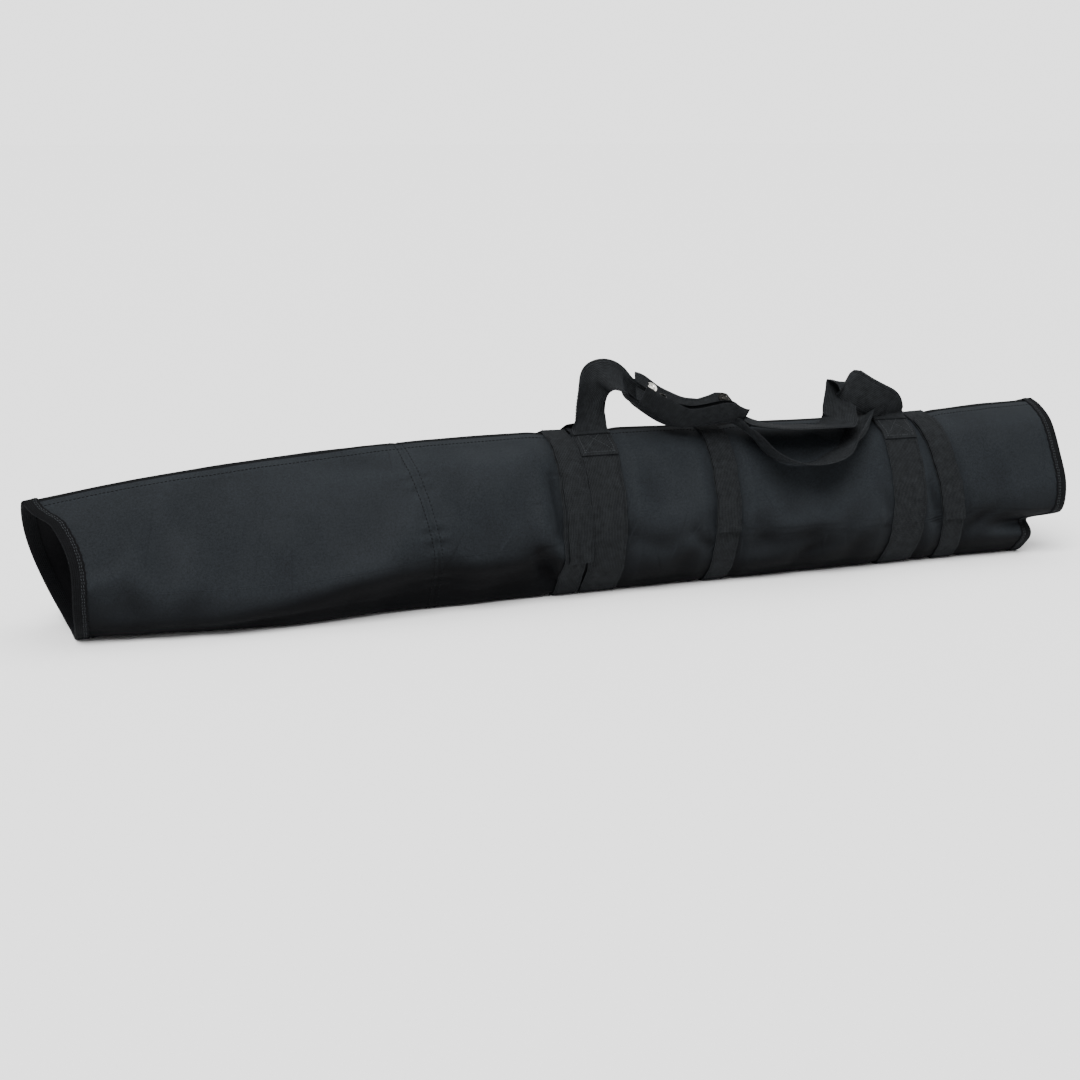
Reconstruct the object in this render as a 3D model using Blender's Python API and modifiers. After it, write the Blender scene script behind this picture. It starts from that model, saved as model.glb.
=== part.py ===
"""Soft carry case for a telescope: a long padded nylon sleeve lying on its belly.

Frame: X runs along the case, the raked left mouth at -X and the right mouth at +X.
-Y is the front, where the closure tabs end, +Z is up and Z = 0 is the floor.
All sizes are in metres.
"""
import math

import bpy
from mathutils import Vector

# ---- Overall sizes -------------------------------------------------------------------
CASE_LENGTH = 1.041       # mouth to mouth along the ridge
CASE_HEIGHT = 0.156       # floor to ridge amidships
CASE_WIDTH = 0.126        # belly, front to back

# ---- Sheet thicknesses and clearances ------------------------------------------------
OUTER_T = 0.0010          # coated nylon shell
FOAM_T = 0.0024           # closed-cell foam between shell and lining
LINING_T = 0.0008
TAPE_T = 0.0007           # hook, loop and binding tapes
WEB_T = 0.0014            # polypropylene webbing
WRAP_T = 0.0018           # two-ply hand wrap
GAP = 0.0004              # clearance between sheets that touch
WEB_GAP = 0.0005          # clearance under the webbing

# ---- Webbing and tape widths ---------------------------------------------------------
WIDE_WEB = 0.038          # carry bands and handles
NARROW_WEB = 0.025        # closure straps
BINDING_W = 0.011         # binding tape seen on the outside of a mouth
CLOSURE_W = 0.030         # overlap of the long closure along the ridge

# ---- Mouths and seam -----------------------------------------------------------------
MOUTH_RAKE = 0.036        # the left mouth's foot stands back from its peak by this much
LOWER_LIP = 0.028         # the right mouth's lower layer is this much shorter
SEAM_X = -0.162           # join of the left and right shell panels at the floor
SEAM_LEAN = 0.022         # the join leans left by this much at the ridge
PADDING_INSET = 0.032     # foam stops short of each bound mouth

# ---- Webbing positions: centre X at the ridge, and lean of the foot towards +X ---------
BAND_LEFT_X = 0.006
BAND_RIGHT_X = 0.337
STRAP_SPACE_LEFT = 0.002   # bare cloth between the left closure strap and its carry band
STRAP_SPACE_RIGHT = 0.005  # and between the right one and its carry band
HALF_WEBS = (WIDE_WEB + NARROW_WEB) / 2
STRAP_LEFT = {"x": BAND_LEFT_X - HALF_WEBS - STRAP_SPACE_LEFT, "lean": 0.000,
              "tab_lean": 0.011, "tab_end": 0.24}
STRAP_MIDDLE = {"x": 0.1325, "lean": 0.000, "tab_lean": 0.000, "tab_end": 0.36}
STRAP_RIGHT = {"x": BAND_RIGHT_X + HALF_WEBS + STRAP_SPACE_RIGHT, "lean": 0.024,
               "tab_lean": 0.024, "tab_end": 0.32}
TAB_HEAD = 0.018          # tab starts this far down the front from the ridge
HOOK_LENGTH = 0.045       # hook patch at a tab's end
ANCHOR_LENGTH = 0.036     # stitched foot of each handle leg
ANCHOR_HEAD = 0.006       # foot starts this far down from the ridge

# ---- Handles and hand wrap -----------------------------------------------------------
HANDLE_RISE = 0.064       # top of the standing arch above the ridge
HANDLE_CLEAR = 0.0030     # handles lie this far off the case and each other
HANDLE_WEB = WIDE_WEB * 0.98    # handle webbing, a little narrower than the bands
LEG_WEB = WIDE_WEB * 0.96       # rear legs, narrower again so that they pass the handle's
WRAP_HEIGHT_BACK = 0.037
WRAP_HEIGHT_FLAP = 0.026
GUTTER_DEPTH = 0.0135     # middle of the gathered handles, up from the wrap's keel line
INTO_WRAP = 0.60          # share of its width to which a handle is gathered entering the wrap
IN_WRAP = 0.50            # inside the wrap
REAR_LEG_RISE = 0.0052    # rear legs cross this far over the ridge
OUT_OF_WRAP = 0.75        # and where it leaves
SNAP_R = 0.0062
SNAP_T = 0.0024
SNAP_INSET = 0.012        # snap centre from each end of the wrap
SNAP_STEPS = 16           # facets round a snap

FRAME_PITCH = 0.058       # spacing of the cross frames along the case
HALF_STEPS = 16           # facets from ridge to floor on each side
RING = 2 * HALF_STEPS
FLOOR_CLEAR = WEB_GAP + WEB_T   # shell stands on the webbing that passes under it
FOAM_CLEAR = 0.12         # facets between the foam's long edge and the closure tapes
TAPE_INSET = 0.15         # facets from the underlap's edges to the closure tapes
HOOK_INSET = 0.2          # facets from a tab's end to its hook patch

# Half section from ridge to floor as (share of half width, share of height).
BODY_PROFILE = [(0.0, 1.0), (0.26, 0.965), (0.58, 0.875), (0.83, 0.70), (0.97, 0.48),
                (0.97, 0.24), (0.80, 0.07), (0.50, 0.0), (0.0, 0.0)]
MOUTH_PROFILE = [(0.0, 1.0), (0.25, 0.93), (0.62, 0.77), (0.90, 0.58), (1.0, 0.40),
                 (0.86, 0.20), (0.56, 0.06), (0.28, 0.0), (0.0, 0.0)]
# Along the case: (share of length, height factor, width factor, share of mouth profile).
STATIONS = [(0.00, 0.79, 0.82, 1.0), (0.09, 0.875, 0.92, 0.55), (0.20, 0.95, 1.03, 0.0),
            (0.34, 0.995, 1.04, 0.0), (0.50, 1.0, 0.99, 0.0), (0.64, 0.985, 0.97, 0.0),
            (0.75, 0.975, 1.01, 0.0), (0.86, 0.975, 0.98, 0.0), (0.94, 1.0, 1.0, 0.0),
            (1.00, 1.01, 1.0, 0.0)]

NAVY_BLACK = (0.026, 0.031, 0.038, 1.0)
WEB_BLACK = (0.020, 0.023, 0.024, 1.0)
LINING_BLACK = (0.006, 0.006, 0.007, 1.0)
FOAM_GREY = (0.045, 0.045, 0.048, 1.0)
NICKEL = (0.62, 0.61, 0.58, 1.0)


def smooth_path(points, count):
    """Points at equal spacing in parameter along a Catmull-Rom curve through points."""
    pts = [Vector(p) for p in points]
    pts = [2 * pts[0] - pts[1]] + pts + [2 * pts[-1] - pts[-2]]
    spans = len(pts) - 3
    path = []
    for k in range(count + 1):
        f = min(k * spans / count, spans - 1e-9)
        i = int(f)
        t = f - i
        a, b, c, d = pts[i:i + 4]
        path.append(0.5 * (2 * b + (c - a) * t + (2 * a - 5 * b + 4 * c - d) * t * t
                           + (3 * b - a - 3 * c + d) * t ** 3))
    return path


def station(x):
    """Height, width and mouth share of the case at x."""
    share = min(max(x / CASE_LENGTH + 0.5, 0.0), 1.0)
    i = 0
    while i < len(STATIONS) - 2 and share > STATIONS[i + 1][0]:
        i += 1
    a, b = STATIONS[i], STATIONS[i + 1]
    before = STATIONS[max(i - 1, 0)]
    after = STATIONS[min(i + 2, len(STATIONS) - 1)]
    span = b[0] - a[0]
    t = (share - a[0]) / span
    values = []
    for k in (1, 2, 3):
        slope_a = (b[k] - before[k]) / (b[0] - before[0]) * span
        slope_b = (after[k] - a[k]) / (after[0] - a[0]) * span
        values.append((2 * t ** 3 - 3 * t ** 2 + 1) * a[k] + (t ** 3 - 2 * t ** 2 + t) * slope_a
                      + (3 * t ** 2 - 2 * t ** 3) * b[k] + (t ** 3 - t ** 2) * slope_b)
    height, width, mouth = values
    return height * CASE_HEIGHT, width * CASE_WIDTH, min(max(mouth, 0.0), 1.0)


def even_steps(path, count):
    """The path resampled to count equal steps by length."""
    lengths = [0.0]
    for p, q in zip(path, path[1:]):
        lengths.append(lengths[-1] + (q - p).length)
    steps, i = [], 0
    for k in range(count + 1):
        want = lengths[-1] * k / count
        while i < len(path) - 2 and lengths[i + 1] < want:
            i += 1
        t = (want - lengths[i]) / max(lengths[i + 1] - lengths[i], 1e-9)
        steps.append(path[i].lerp(path[i + 1], min(t, 1.0)))
    return steps


SECTION_CACHE = {}


def section(x):
    """Ring of (point, outward normal) in the YZ plane; step 0 is the ridge, front first."""
    key = round(x, 6)
    if key in SECTION_CACHE:
        return SECTION_CACHE[key]
    height, width, mouth = station(x)
    half = [Vector((0.0, -width / 2 * (p[0] * (1 - mouth) + q[0] * mouth),
                    FLOOR_CLEAR + (height - FLOOR_CLEAR) * (p[1] * (1 - mouth) + q[1] * mouth)))
            for p, q in zip(BODY_PROFILE, MOUTH_PROFILE)]
    front = even_steps(smooth_path(half, 96), HALF_STEPS)
    for p in front:
        p.z = max(p.z, FLOOR_CLEAR)
    front[0].y = 0.0
    front[-1].y = 0.0
    back = [Vector((0.0, -p.y, p.z)) for p in reversed(front[1:-1])]
    ring = front + back
    out = []
    for i, p in enumerate(ring):
        along = ring[(i + 1) % RING] - ring[i - 1]
        out.append((p, Vector((0.0, along.z, -along.y)).normalized()))
    out = [(p, -n if i == 0 and n.z < 0 else n) for i, (p, n) in enumerate(out)]
    SECTION_CACHE[key] = out
    return out


def case_point(x, q, lift=0.0):
    """Point on the case at x, ring position q, raised by lift along the section's normal."""
    ring = section(x)
    q = q % RING
    i = int(q)
    t = q - i
    a, b = ring[i], ring[(i + 1) % RING]
    p = (a[0] + a[1] * lift).lerp(b[0] + b[1] * lift, t)
    return Vector((x, p.y, p.z))


def height_share(x, q):
    height = station(x)[0]
    return (case_point(x, q).z - FLOOR_CLEAR) / (height - FLOOR_CLEAR)


def ring_at_drop(x, drop):
    """Ring position on the front at a distance drop down the section from the ridge."""
    step = (case_point(x, 3) - case_point(x, 2)).length
    return drop / step


def ring_at_height(x, share):
    """Ring position on the front where the section has fallen to a share of its height."""
    q = 0.0
    while height_share(x, q) > share and q < HALF_STEPS:
        q += 0.05
    return q


def between_steps(edge):
    """An edge given at whole ring steps, made straight between them like the facets."""
    def straight(q):
        i = math.floor(q)
        return edge(i) + (edge(i + 1) - edge(i)) * (q - i)
    return straight


@between_steps
def left_rim(q):
    """X of the raked left mouth at ring position q."""
    x = -CASE_LENGTH / 2
    down = 1 - height_share(x, q)
    bend = 0.45 if q % RING <= HALF_STEPS else 1.8
    return x + MOUTH_RAKE * max(down, 0.0) ** bend


@between_steps
def right_rim(q):
    """X of the right mouth at ring position q; its lower layer is shorter."""
    share = height_share(CASE_LENGTH / 2, q)
    t = min(max((0.36 - share) / 0.08, 0.0), 1.0)
    return CASE_LENGTH / 2 - LOWER_LIP * t


@between_steps
def seam(q):
    """X of the join between the left and right shell panels."""
    return SEAM_X - SEAM_LEAN * height_share(SEAM_X, q) ** 2


# ---- Blender helpers -----------------------------------------------------------------
for old in list(bpy.data.objects):
    bpy.data.objects.remove(old, do_unlink=True)
CASE = bpy.data.collections.new("telescope_carry_case")
bpy.context.scene.collection.children.link(CASE)


def material(name, colour, roughness, metallic=0.0):
    mat = bpy.data.materials.new(name)
    mat.use_nodes = True
    shader = mat.node_tree.nodes["Principled BSDF"]
    shader.inputs["Base Color"].default_value = colour
    shader.inputs["Roughness"].default_value = roughness
    shader.inputs["Metallic"].default_value = metallic
    mat.diffuse_color = colour
    return mat


def finish(name, mesh, colour, roughness, metallic=0.0):
    """Object from a mesh, with its own material, in the case's collection."""
    obj = bpy.data.objects.new(name, mesh)
    mesh.materials.append(material(name + "_finish", colour, roughness, metallic))
    mesh.shade_smooth()
    CASE.objects.link(obj)
    return obj


def sheet(name, rows, thickness, side, colour, roughness=0.85, closed=False):
    """Solid sheet: an open surface through rows of points, thickened by Solidify.

    Side is 1 outward from the surface, -1 inward and 0 on both sides of it.
    """
    width = len(rows[0])
    verts = [tuple(p) for row in rows for p in row]
    faces = []
    for r in range(len(rows) - 1):
        for c in range(width if closed else width - 1):
            d = (c + 1) % width
            faces.append((r * width + c, r * width + d, (r + 1) * width + d, (r + 1) * width + c))
    mesh = bpy.data.meshes.new(name)
    mesh.from_pydata(verts, [], faces)
    obj = finish(name, mesh, colour, roughness)
    wall = obj.modifiers.new("wall", "SOLIDIFY")
    wall.thickness = thickness
    wall.offset = side
    return obj


def ring_steps(q0, q1):
    """Ring positions from q0 to q1 through every facet edge between them."""
    inner = [q for q in range(math.ceil(q0 + 0.15), math.floor(q1 - 0.15) + 1)]
    return [q0] + inner + [q1]


def frames_between(low, high):
    """Shared cross frames between two X values, so that stacked sheets keep one shape."""
    first = -CASE_LENGTH / 2
    count = round(CASE_LENGTH / FRAME_PITCH)
    frames = [first + CASE_LENGTH * k / count for k in range(count + 1)]
    return [x for x in frames if low + FRAME_PITCH / 8 < x < high - FRAME_PITCH / 8]


def lengthwise(name, start, end, q0, q1, lift, thickness, side, colour):
    """Sheet that runs along the case from start(q) to end(q), between ring positions."""
    qs = ring_steps(q0, q1)
    frames = frames_between(max(start(q) for q in qs), min(end(q) for q in qs))
    runs = [[start(q) for q in qs]] + [[x] * len(qs) for x in frames] + [[end(q) for q in qs]]
    rows = []
    for run in runs:
        rows.append([case_point(x, q, lift(x, q) if callable(lift) else lift)
                     for x, q in zip(run, qs)])
    return sheet(name, rows, thickness, side, colour)


def around(name, x, width, lean, q0, q1, lift, thickness, colour, closed=False):
    """Webbing laid round the case, leaning towards +X as it comes down."""
    qs = list(range(RING)) if closed else ring_steps(q0, q1)
    rows = []
    for edge in (-0.5, 0.5):
        row = []
        for q in qs:
            at = x + edge * width + lean * (1 - height_share(x, q))
            row.append(case_point(at, q, lift))
        rows.append(row)
    return sheet(name, rows, thickness, 1, colour, 0.8, closed)


def ribbon(name, path, across, width, thickness, colour, steps, gather=None):
    """Flat webbing along a path; across gives its width direction at each path point.

    Gather, if given, is the share of the width that the webbing keeps at each point.
    """
    centre = smooth_path(path, steps)
    spread = smooth_path(across, steps)
    shares = smooth_path([(g, 0, 0) for g in gather or [1.0] * len(path)], steps)
    rows = []
    for p, w, g in zip(centre, spread, shares):
        half = w.normalized() * width * g.x / 2
        rows.append([p - half, p + half])
    return sheet(name, rows, thickness, 0, colour, 0.8)


# ---- Shell, padding and lining ---------------------------------------------------------
FRONT_TOP = 0.45          # front panel's hem lies just in front of the ridge
BACK_TOP = 0.38           # back panel passes over the ridge up to it
FRONT_FOOT = 9.0          # shell panels meet the base panel low on each side
SLIT = 0.03               # half the slit between panels, in ring steps


def shell_panels():
    spans = {"front": (FRONT_TOP, FRONT_FOOT - SLIT),
             "base": (FRONT_FOOT + SLIT, RING - FRONT_FOOT - SLIT),
             "back": (RING - FRONT_FOOT + SLIT, RING + BACK_TOP)}
    for side, (q0, q1) in spans.items():
        lengthwise(side + "_panel_left", left_rim, lambda q: seam(q) - GAP / 2, q0, q1,
                   0.0, OUTER_T, -1, NAVY_BLACK)
        lengthwise(side + "_panel_right", lambda q: seam(q) + GAP / 2, right_rim, q0, q1,
                   0.0, OUTER_T, -1, NAVY_BLACK)


EDGE_LIFT = -(OUTER_T + GAP)
LINING_LIFT = -(OUTER_T + FOAM_T + 2 * GAP)


def lining_lift(x, q):
    """The lining closes up to the shell where the mouths are bound."""
    from_end = min(x - left_rim(q), right_rim(q) - x)
    t = min(max((from_end - BINDING_W) / (PADDING_INSET - BINDING_W), 0.0), 1.0)
    return EDGE_LIFT + (LINING_LIFT - EDGE_LIFT) * t


def padding_and_lining():
    step = (case_point(0.0, 3) - case_point(0.0, 2)).length
    reach = CLOSURE_W / step
    lengthwise("foam_padding", lambda q: left_rim(q) + PADDING_INSET,
               lambda q: right_rim(q) - PADDING_INSET, FRONT_TOP + reach + 2 * FOAM_CLEAR,
               RING - reach, EDGE_LIFT, FOAM_T, -1, FOAM_GREY)
    qs = ring_steps(FRONT_TOP + reach + 2 * FOAM_CLEAR, RING - reach)
    insets = [GAP, BINDING_W / 2, BINDING_W, (BINDING_W + PADDING_INSET) / 2, PADDING_INSET]
    frames = frames_between(max(left_rim(q) for q in qs) + PADDING_INSET,
                            min(right_rim(q) for q in qs) - PADDING_INSET)
    runs = [[left_rim(q) + inset for q in qs] for inset in insets]
    runs += [[x] * len(qs) for x in frames]
    runs += [[right_rim(q) - inset for q in qs] for inset in reversed(insets)]
    rows = [[case_point(x, q, lining_lift(x, q)) for x, q in zip(run, qs)] for run in runs]
    sheet("lining_sleeve", rows, LINING_T, -1, LINING_BLACK)


def long_closure():
    """Hook and loop closure along the ridge, between the front hem and the underlap."""
    step = (case_point(0.0, 3) - case_point(0.0, 2)).length
    reach = CLOSURE_W / step
    ends = 2 * BINDING_W
    hook = EDGE_LIFT
    loop = hook - TAPE_T - GAP
    under = loop - TAPE_T - GAP
    tape_from, tape_to = FRONT_TOP + TAPE_INSET, FRONT_TOP + reach - TAPE_INSET
    runs = [("closure_hook_tape", hook, tape_from, tape_to, TAPE_T),
            ("closure_loop_tape", loop, tape_from, tape_to, TAPE_T),
            ("closure_underlap", under, -reach / 2, FRONT_TOP + reach, LINING_T)]
    for name, lift, q0, q1, thickness in runs:
        colour = NAVY_BLACK if name.endswith("underlap") else WEB_BLACK
        lengthwise(name, lambda q: left_rim(q) + ends, lambda q: right_rim(q) - ends,
                   q0 + RING, q1 + RING, lift, thickness, -1, colour)


def mouth_binding(name, rim, inward):
    """Tape folded over a mouth's edge: outer leg, fold and inner leg, all the way round."""
    inner = EDGE_LIFT - LINING_T - GAP
    rows = []
    for run, lift in ((BINDING_W, GAP), (-GAP, GAP), (-GAP, inner), (BINDING_W, inner)):
        rows.append([case_point(rim(q) + inward * run, q, lift) for q in range(RING)])
    if inward > 0:
        rows.reverse()
    sheet(name, rows, TAPE_T, 1, WEB_BLACK, 0.8, closed=True)


# ---- Webbing round the case ------------------------------------------------------------
TAB_LIFT = WEB_GAP + WEB_T + 2 * GAP + TAPE_T


def carry_band(name, x):
    around(name, x, WIDE_WEB, 0.0, 0, RING, WEB_GAP, WEB_T, WEB_BLACK, closed=True)


def closure_strap(side, strap):
    """Narrow strap sewn round the case and the free tab that pulls down over its front."""
    x, lean = strap["x"], strap["lean"]
    around("closure_strap_" + side, x, NARROW_WEB, lean, 0, RING, WEB_GAP, WEB_T, WEB_BLACK,
           closed=True)
    head = ring_at_drop(x, TAB_HEAD)
    foot = ring_at_height(x, strap["tab_end"])
    tab = around("closure_tab_" + side, x, NARROW_WEB, strap["tab_lean"], head, foot, TAB_LIFT,
                 WEB_T, WEB_BLACK)
    step = (case_point(x, 7) - case_point(x, 6)).length
    hook = around("tab_hook_" + side, x, NARROW_WEB - 2 * GAP, strap["tab_lean"],
                  foot - HOOK_LENGTH / step, foot - HOOK_INSET, WEB_GAP + WEB_T + GAP, TAPE_T, WEB_BLACK)
    place_origin([tab, hook], case_point(x, head, TAB_LIFT), "tab_%s_hinge" % side)


def place_origin(objs, point, name):
    """Parent pieces that move together to an empty on their joint's axis."""
    pivot = bpy.data.objects.new(name, None)
    pivot.empty_display_size = 0.02
    CASE.objects.link(pivot)
    pivot.location = point
    for obj in objs:
        obj.parent = pivot
        obj.location -= Vector(point)
    return pivot


def handle_feet():
    """Stitched feet of the four handle legs, on the carry bands beside the ridge."""
    lift = WEB_GAP + WEB_T + GAP
    for side, x in (("left", BAND_LEFT_X), ("right", BAND_RIGHT_X)):
        q0 = ring_at_drop(x, ANCHOR_HEAD)
        q1 = ring_at_drop(x, ANCHOR_HEAD + ANCHOR_LENGTH)
        around("handle_foot_front_" + side, x, WIDE_WEB, 0.0, q0, q1, lift, WEB_T, WEB_BLACK)
        around("handle_foot_rear_" + side, x, WIDE_WEB, 0.0, RING - q1, RING - q0, lift, WEB_T,
               WEB_BLACK)


# ---- Handles and hand wrap -------------------------------------------------------------
RIDGE_Z = station(BAND_LEFT_X)[0]
SWING_AXIS = Vector(((BAND_LEFT_X + BAND_RIGHT_X) / 2, 0.0,
                     RIDGE_Z + FLOOR_CLEAR + WEB_T + 2 * GAP))
FACE_Y = -CASE_WIDTH / 2
LEG_L = BAND_LEFT_X
LEG_R = BAND_RIGHT_X
TOP = RIDGE_Z + HANDLE_RISE

# The wrap's keel line, and the ways its two leaves stand from it.
KEEL_START = Vector((LEG_L + 0.048, -0.024, RIDGE_Z + 0.024))
KEEL_END = Vector((LEG_L + 0.146, -0.036, RIDGE_Z + 0.001))
KEEL = (KEEL_END - KEEL_START).normalized()
WRAP_OUT = Vector((0.0, 0.72, 0.69))
WRAP_OUT = (WRAP_OUT - KEEL * WRAP_OUT.dot(KEEL)).normalized()
WRAP_IN = KEEL.cross(WRAP_OUT).normalized()
FLAP_OUT = Vector((0.0, -0.64, 0.77))
FLAP_OUT = (FLAP_OUT - KEEL * FLAP_OUT.dot(KEEL)).normalized()
FLAP_IN = -KEEL.cross(FLAP_OUT).normalized()


def in_wrap(share, layer):
    """Place in the wrap's gutter: a share of its length, a layer off its back leaf."""
    along = KEEL_START.lerp(KEEL_END, share)
    return along + WRAP_OUT * GUTTER_DEPTH + WRAP_IN * (WRAP_T / 2 + HANDLE_CLEAR * layer)


def front_handle():
    """From the left foot up the arch, through the wrap, along the ridge and up the fold."""
    path = [(LEG_L - 0.001, -0.022, RIDGE_Z + 0.0068), (LEG_L - 0.008, -0.022, RIDGE_Z + 0.030),
            (LEG_L - 0.004, -0.020, TOP - 0.013), (LEG_L + 0.014, -0.017, TOP),
            in_wrap(-0.16, 2.8), in_wrap(0.0, 2.2), in_wrap(0.5, 2.2), in_wrap(1.0, 2.2),
            (LEG_L + 0.164, -0.030, RIDGE_Z + 0.014), (LEG_L + 0.190, -0.036, RIDGE_Z + 0.006),
            (LEG_R - 0.085, -0.040, RIDGE_Z + 0.003),
            (LEG_R - 0.056, -0.026, RIDGE_Z + 0.008), (LEG_R - 0.052, -0.004, RIDGE_Z + 0.021),
            (LEG_R - 0.044, -0.004, RIDGE_Z + 0.036), (LEG_R - 0.024, -0.012, RIDGE_Z + 0.033),
            (LEG_R - 0.008, -0.020, RIDGE_Z + 0.018), (LEG_R, -0.022, RIDGE_Z + 0.0068)]
    folded = -WRAP_OUT
    across = [(1, 0, 0), (0.85, -0.5, 0), (0.35, -0.9, 0), (0.1, -1, 0.1),
              folded, folded, folded, folded,
              (0, -0.9, -0.4), (0, -1, 0.0), (0.2, -1, -0.05), (0.8, -0.6, 0.1), (1, 0.1, 0.1),
              (0.9, 0.0, 0.5), (0.6, -0.1, 0.8), (0.9, 0, 0.35), (1, 0, 0)]
    gather = [1] * 4 + [INTO_WRAP, IN_WRAP, IN_WRAP, IN_WRAP, OUT_OF_WRAP] + [1] * 8
    return ribbon("front_handle", path, across, HANDLE_WEB, WEB_T, WEB_BLACK, 45, gather)


def rear_handle():
    """From over the ridge beside the left foot, inside the arch, drooping on the front."""
    crest = RIDGE_Z + FLOOR_CLEAR + WEB_T + HANDLE_CLEAR
    path = [(LEG_L - 0.002, -0.002, crest + 0.002), (LEG_L - 0.002, -0.002, RIDGE_Z + 0.028),
            (LEG_L + 0.004, -0.004, TOP - 0.022), (LEG_L + 0.016, -0.010, TOP - 0.013),
            in_wrap(-0.16, 0.6), in_wrap(0.0, 1), in_wrap(0.5, 1), in_wrap(1.0, 1),
            (LEG_L + 0.154, -0.034, RIDGE_Z - 0.001),
            (LEG_L + 0.172, FACE_Y - 0.001, RIDGE_Z - 0.024),
            (LEG_L + 0.196, FACE_Y - 0.008, RIDGE_Z - 0.037),
            (LEG_L + 0.232, FACE_Y - 0.007, RIDGE_Z - 0.034),
            (LEG_L + 0.258, FACE_Y + 0.000, RIDGE_Z - 0.022),
            (LEG_L + 0.282, FACE_Y + 0.015, RIDGE_Z - 0.008),
            (LEG_L + 0.294, -0.022, RIDGE_Z + 0.0055), (LEG_L + 0.298, -0.001, crest)]
    folded = -WRAP_OUT
    across = [(1, 0, 0), (0.9, -0.4, 0), (0.4, -0.9, 0), (0.1, -1, 0.1),
              folded, folded, folded, folded,
              (0, -0.95, -0.35), (0, -1, 0.1), (0, -1, 0.1), (0.0, -1, 0.1), (0.3, -1, 0.2),
              (0.7, -0.6, -0.1), (1, -0.1, 0), (1, 0, 0)]
    gather = [1] * 4 + [INTO_WRAP, IN_WRAP, IN_WRAP, IN_WRAP, OUT_OF_WRAP] + [1] * 7
    return ribbon("rear_handle", path, across, HANDLE_WEB, WEB_T, WEB_BLACK, 42, gather)


def rear_legs():
    """Rear handle's legs from its stitched feet up to the ridge."""
    lift = WEB_GAP + WEB_T + GAP
    for side, x, top_x in (("left", LEG_L, LEG_L - 0.002), ("right", LEG_R, LEG_L + 0.298)):
        q0 = RING - ring_at_drop(x, ANCHOR_HEAD)
        foot = case_point(x, q0, lift)
        over = RIDGE_Z + REAR_LEG_RISE
        path = [(x, foot.y - 0.0006, foot.z + 0.0012), ((x + top_x) / 2, 0.006, over),
                (top_x, 0.001, over)]
        across = [(1, 0, 0), (1, 0, 0), (1, 0, 0)]
        ribbon("rear_leg_" + side, path, across, LEG_WEB, WEB_T, WEB_BLACK, 4)


def wrap_leaf(name, out, height):
    """One leaf of the hand wrap, standing from the keel line in the direction out."""
    rows = []
    for t in (0.0, 0.5, 1.0):
        p = KEEL_START.lerp(KEEL_END, t)
        rows.append([p + out * WRAP_T, p + out * height])
    return sheet(name, rows, WRAP_T, 0, WEB_BLACK, 0.8)


def snap_part(name, centre, normal, radius, thickness):
    """Turned snap half: a domed disc with a rounded rim, on an axis along normal."""
    profile = [(0.0, 0.0), (radius, 0.0), (radius, thickness * 0.45),
               (radius * 0.8, thickness * 0.85), (radius * 0.35, thickness), (0.0, thickness)]
    mesh = bpy.data.meshes.new(name)
    points = [(r, 0.0, z) for r, z in reversed(profile)]
    mesh.from_pydata(points, [(i, i + 1) for i in range(len(points) - 1)], [])
    obj = finish(name, mesh, NICKEL, 0.3, 1.0)
    turn = obj.modifiers.new("turn", "SCREW")
    turn.axis = "Z"
    turn.steps = SNAP_STEPS
    turn.render_steps = SNAP_STEPS
    turn.use_merge_vertices = True
    turn.merge_threshold = 0.00005
    obj.rotation_mode = "QUATERNION"
    obj.rotation_quaternion = Vector((0, 0, 1)).rotation_difference(normal)
    obj.location = centre
    return obj


def hand_wrap():
    """Two leaves on one keel line; the flap leaf snaps over onto the back leaf.

    Returns what swings with the handles: the back leaf, its sockets and the flap's pivot.
    """
    fixed = [wrap_leaf("hand_wrap_back", WRAP_OUT, WRAP_HEIGHT_BACK)]
    moving = [wrap_leaf("hand_wrap_flap", FLAP_OUT, WRAP_HEIGHT_FLAP)]
    length = (KEEL_END - KEEL_START).length
    face = WRAP_T / 2 + GAP
    for side, run in (("left", SNAP_INSET), ("right", length - SNAP_INSET)):
        root = KEEL_START + KEEL * run
        on_back = root + WRAP_OUT * (WRAP_HEIGHT_BACK - SNAP_R - GAP)
        on_flap = root + FLAP_OUT * (WRAP_HEIGHT_FLAP - SNAP_R - GAP)
        fixed.append(snap_part("snap_socket_" + side, on_back + WRAP_IN * face, WRAP_IN,
                               SNAP_R, SNAP_T))
        moving.append(snap_part("snap_stud_" + side, on_flap + FLAP_IN * face, FLAP_IN,
                                SNAP_R, SNAP_T))
    return fixed + [place_origin(moving, KEEL_START, "hand_wrap_hinge")]


shell_panels()
padding_and_lining()
long_closure()
mouth_binding("mouth_binding_left", left_rim, 1)
mouth_binding("mouth_binding_right", right_rim, -1)
carry_band("carry_band_left", BAND_LEFT_X)
carry_band("carry_band_right", BAND_RIGHT_X)
closure_strap("left", STRAP_LEFT)
closure_strap("middle", STRAP_MIDDLE)
closure_strap("right", STRAP_RIGHT)
handle_feet()
rear_legs()
place_origin([front_handle(), rear_handle()] + hand_wrap(), SWING_AXIS, "handles_hinge")
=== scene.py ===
import math

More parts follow.
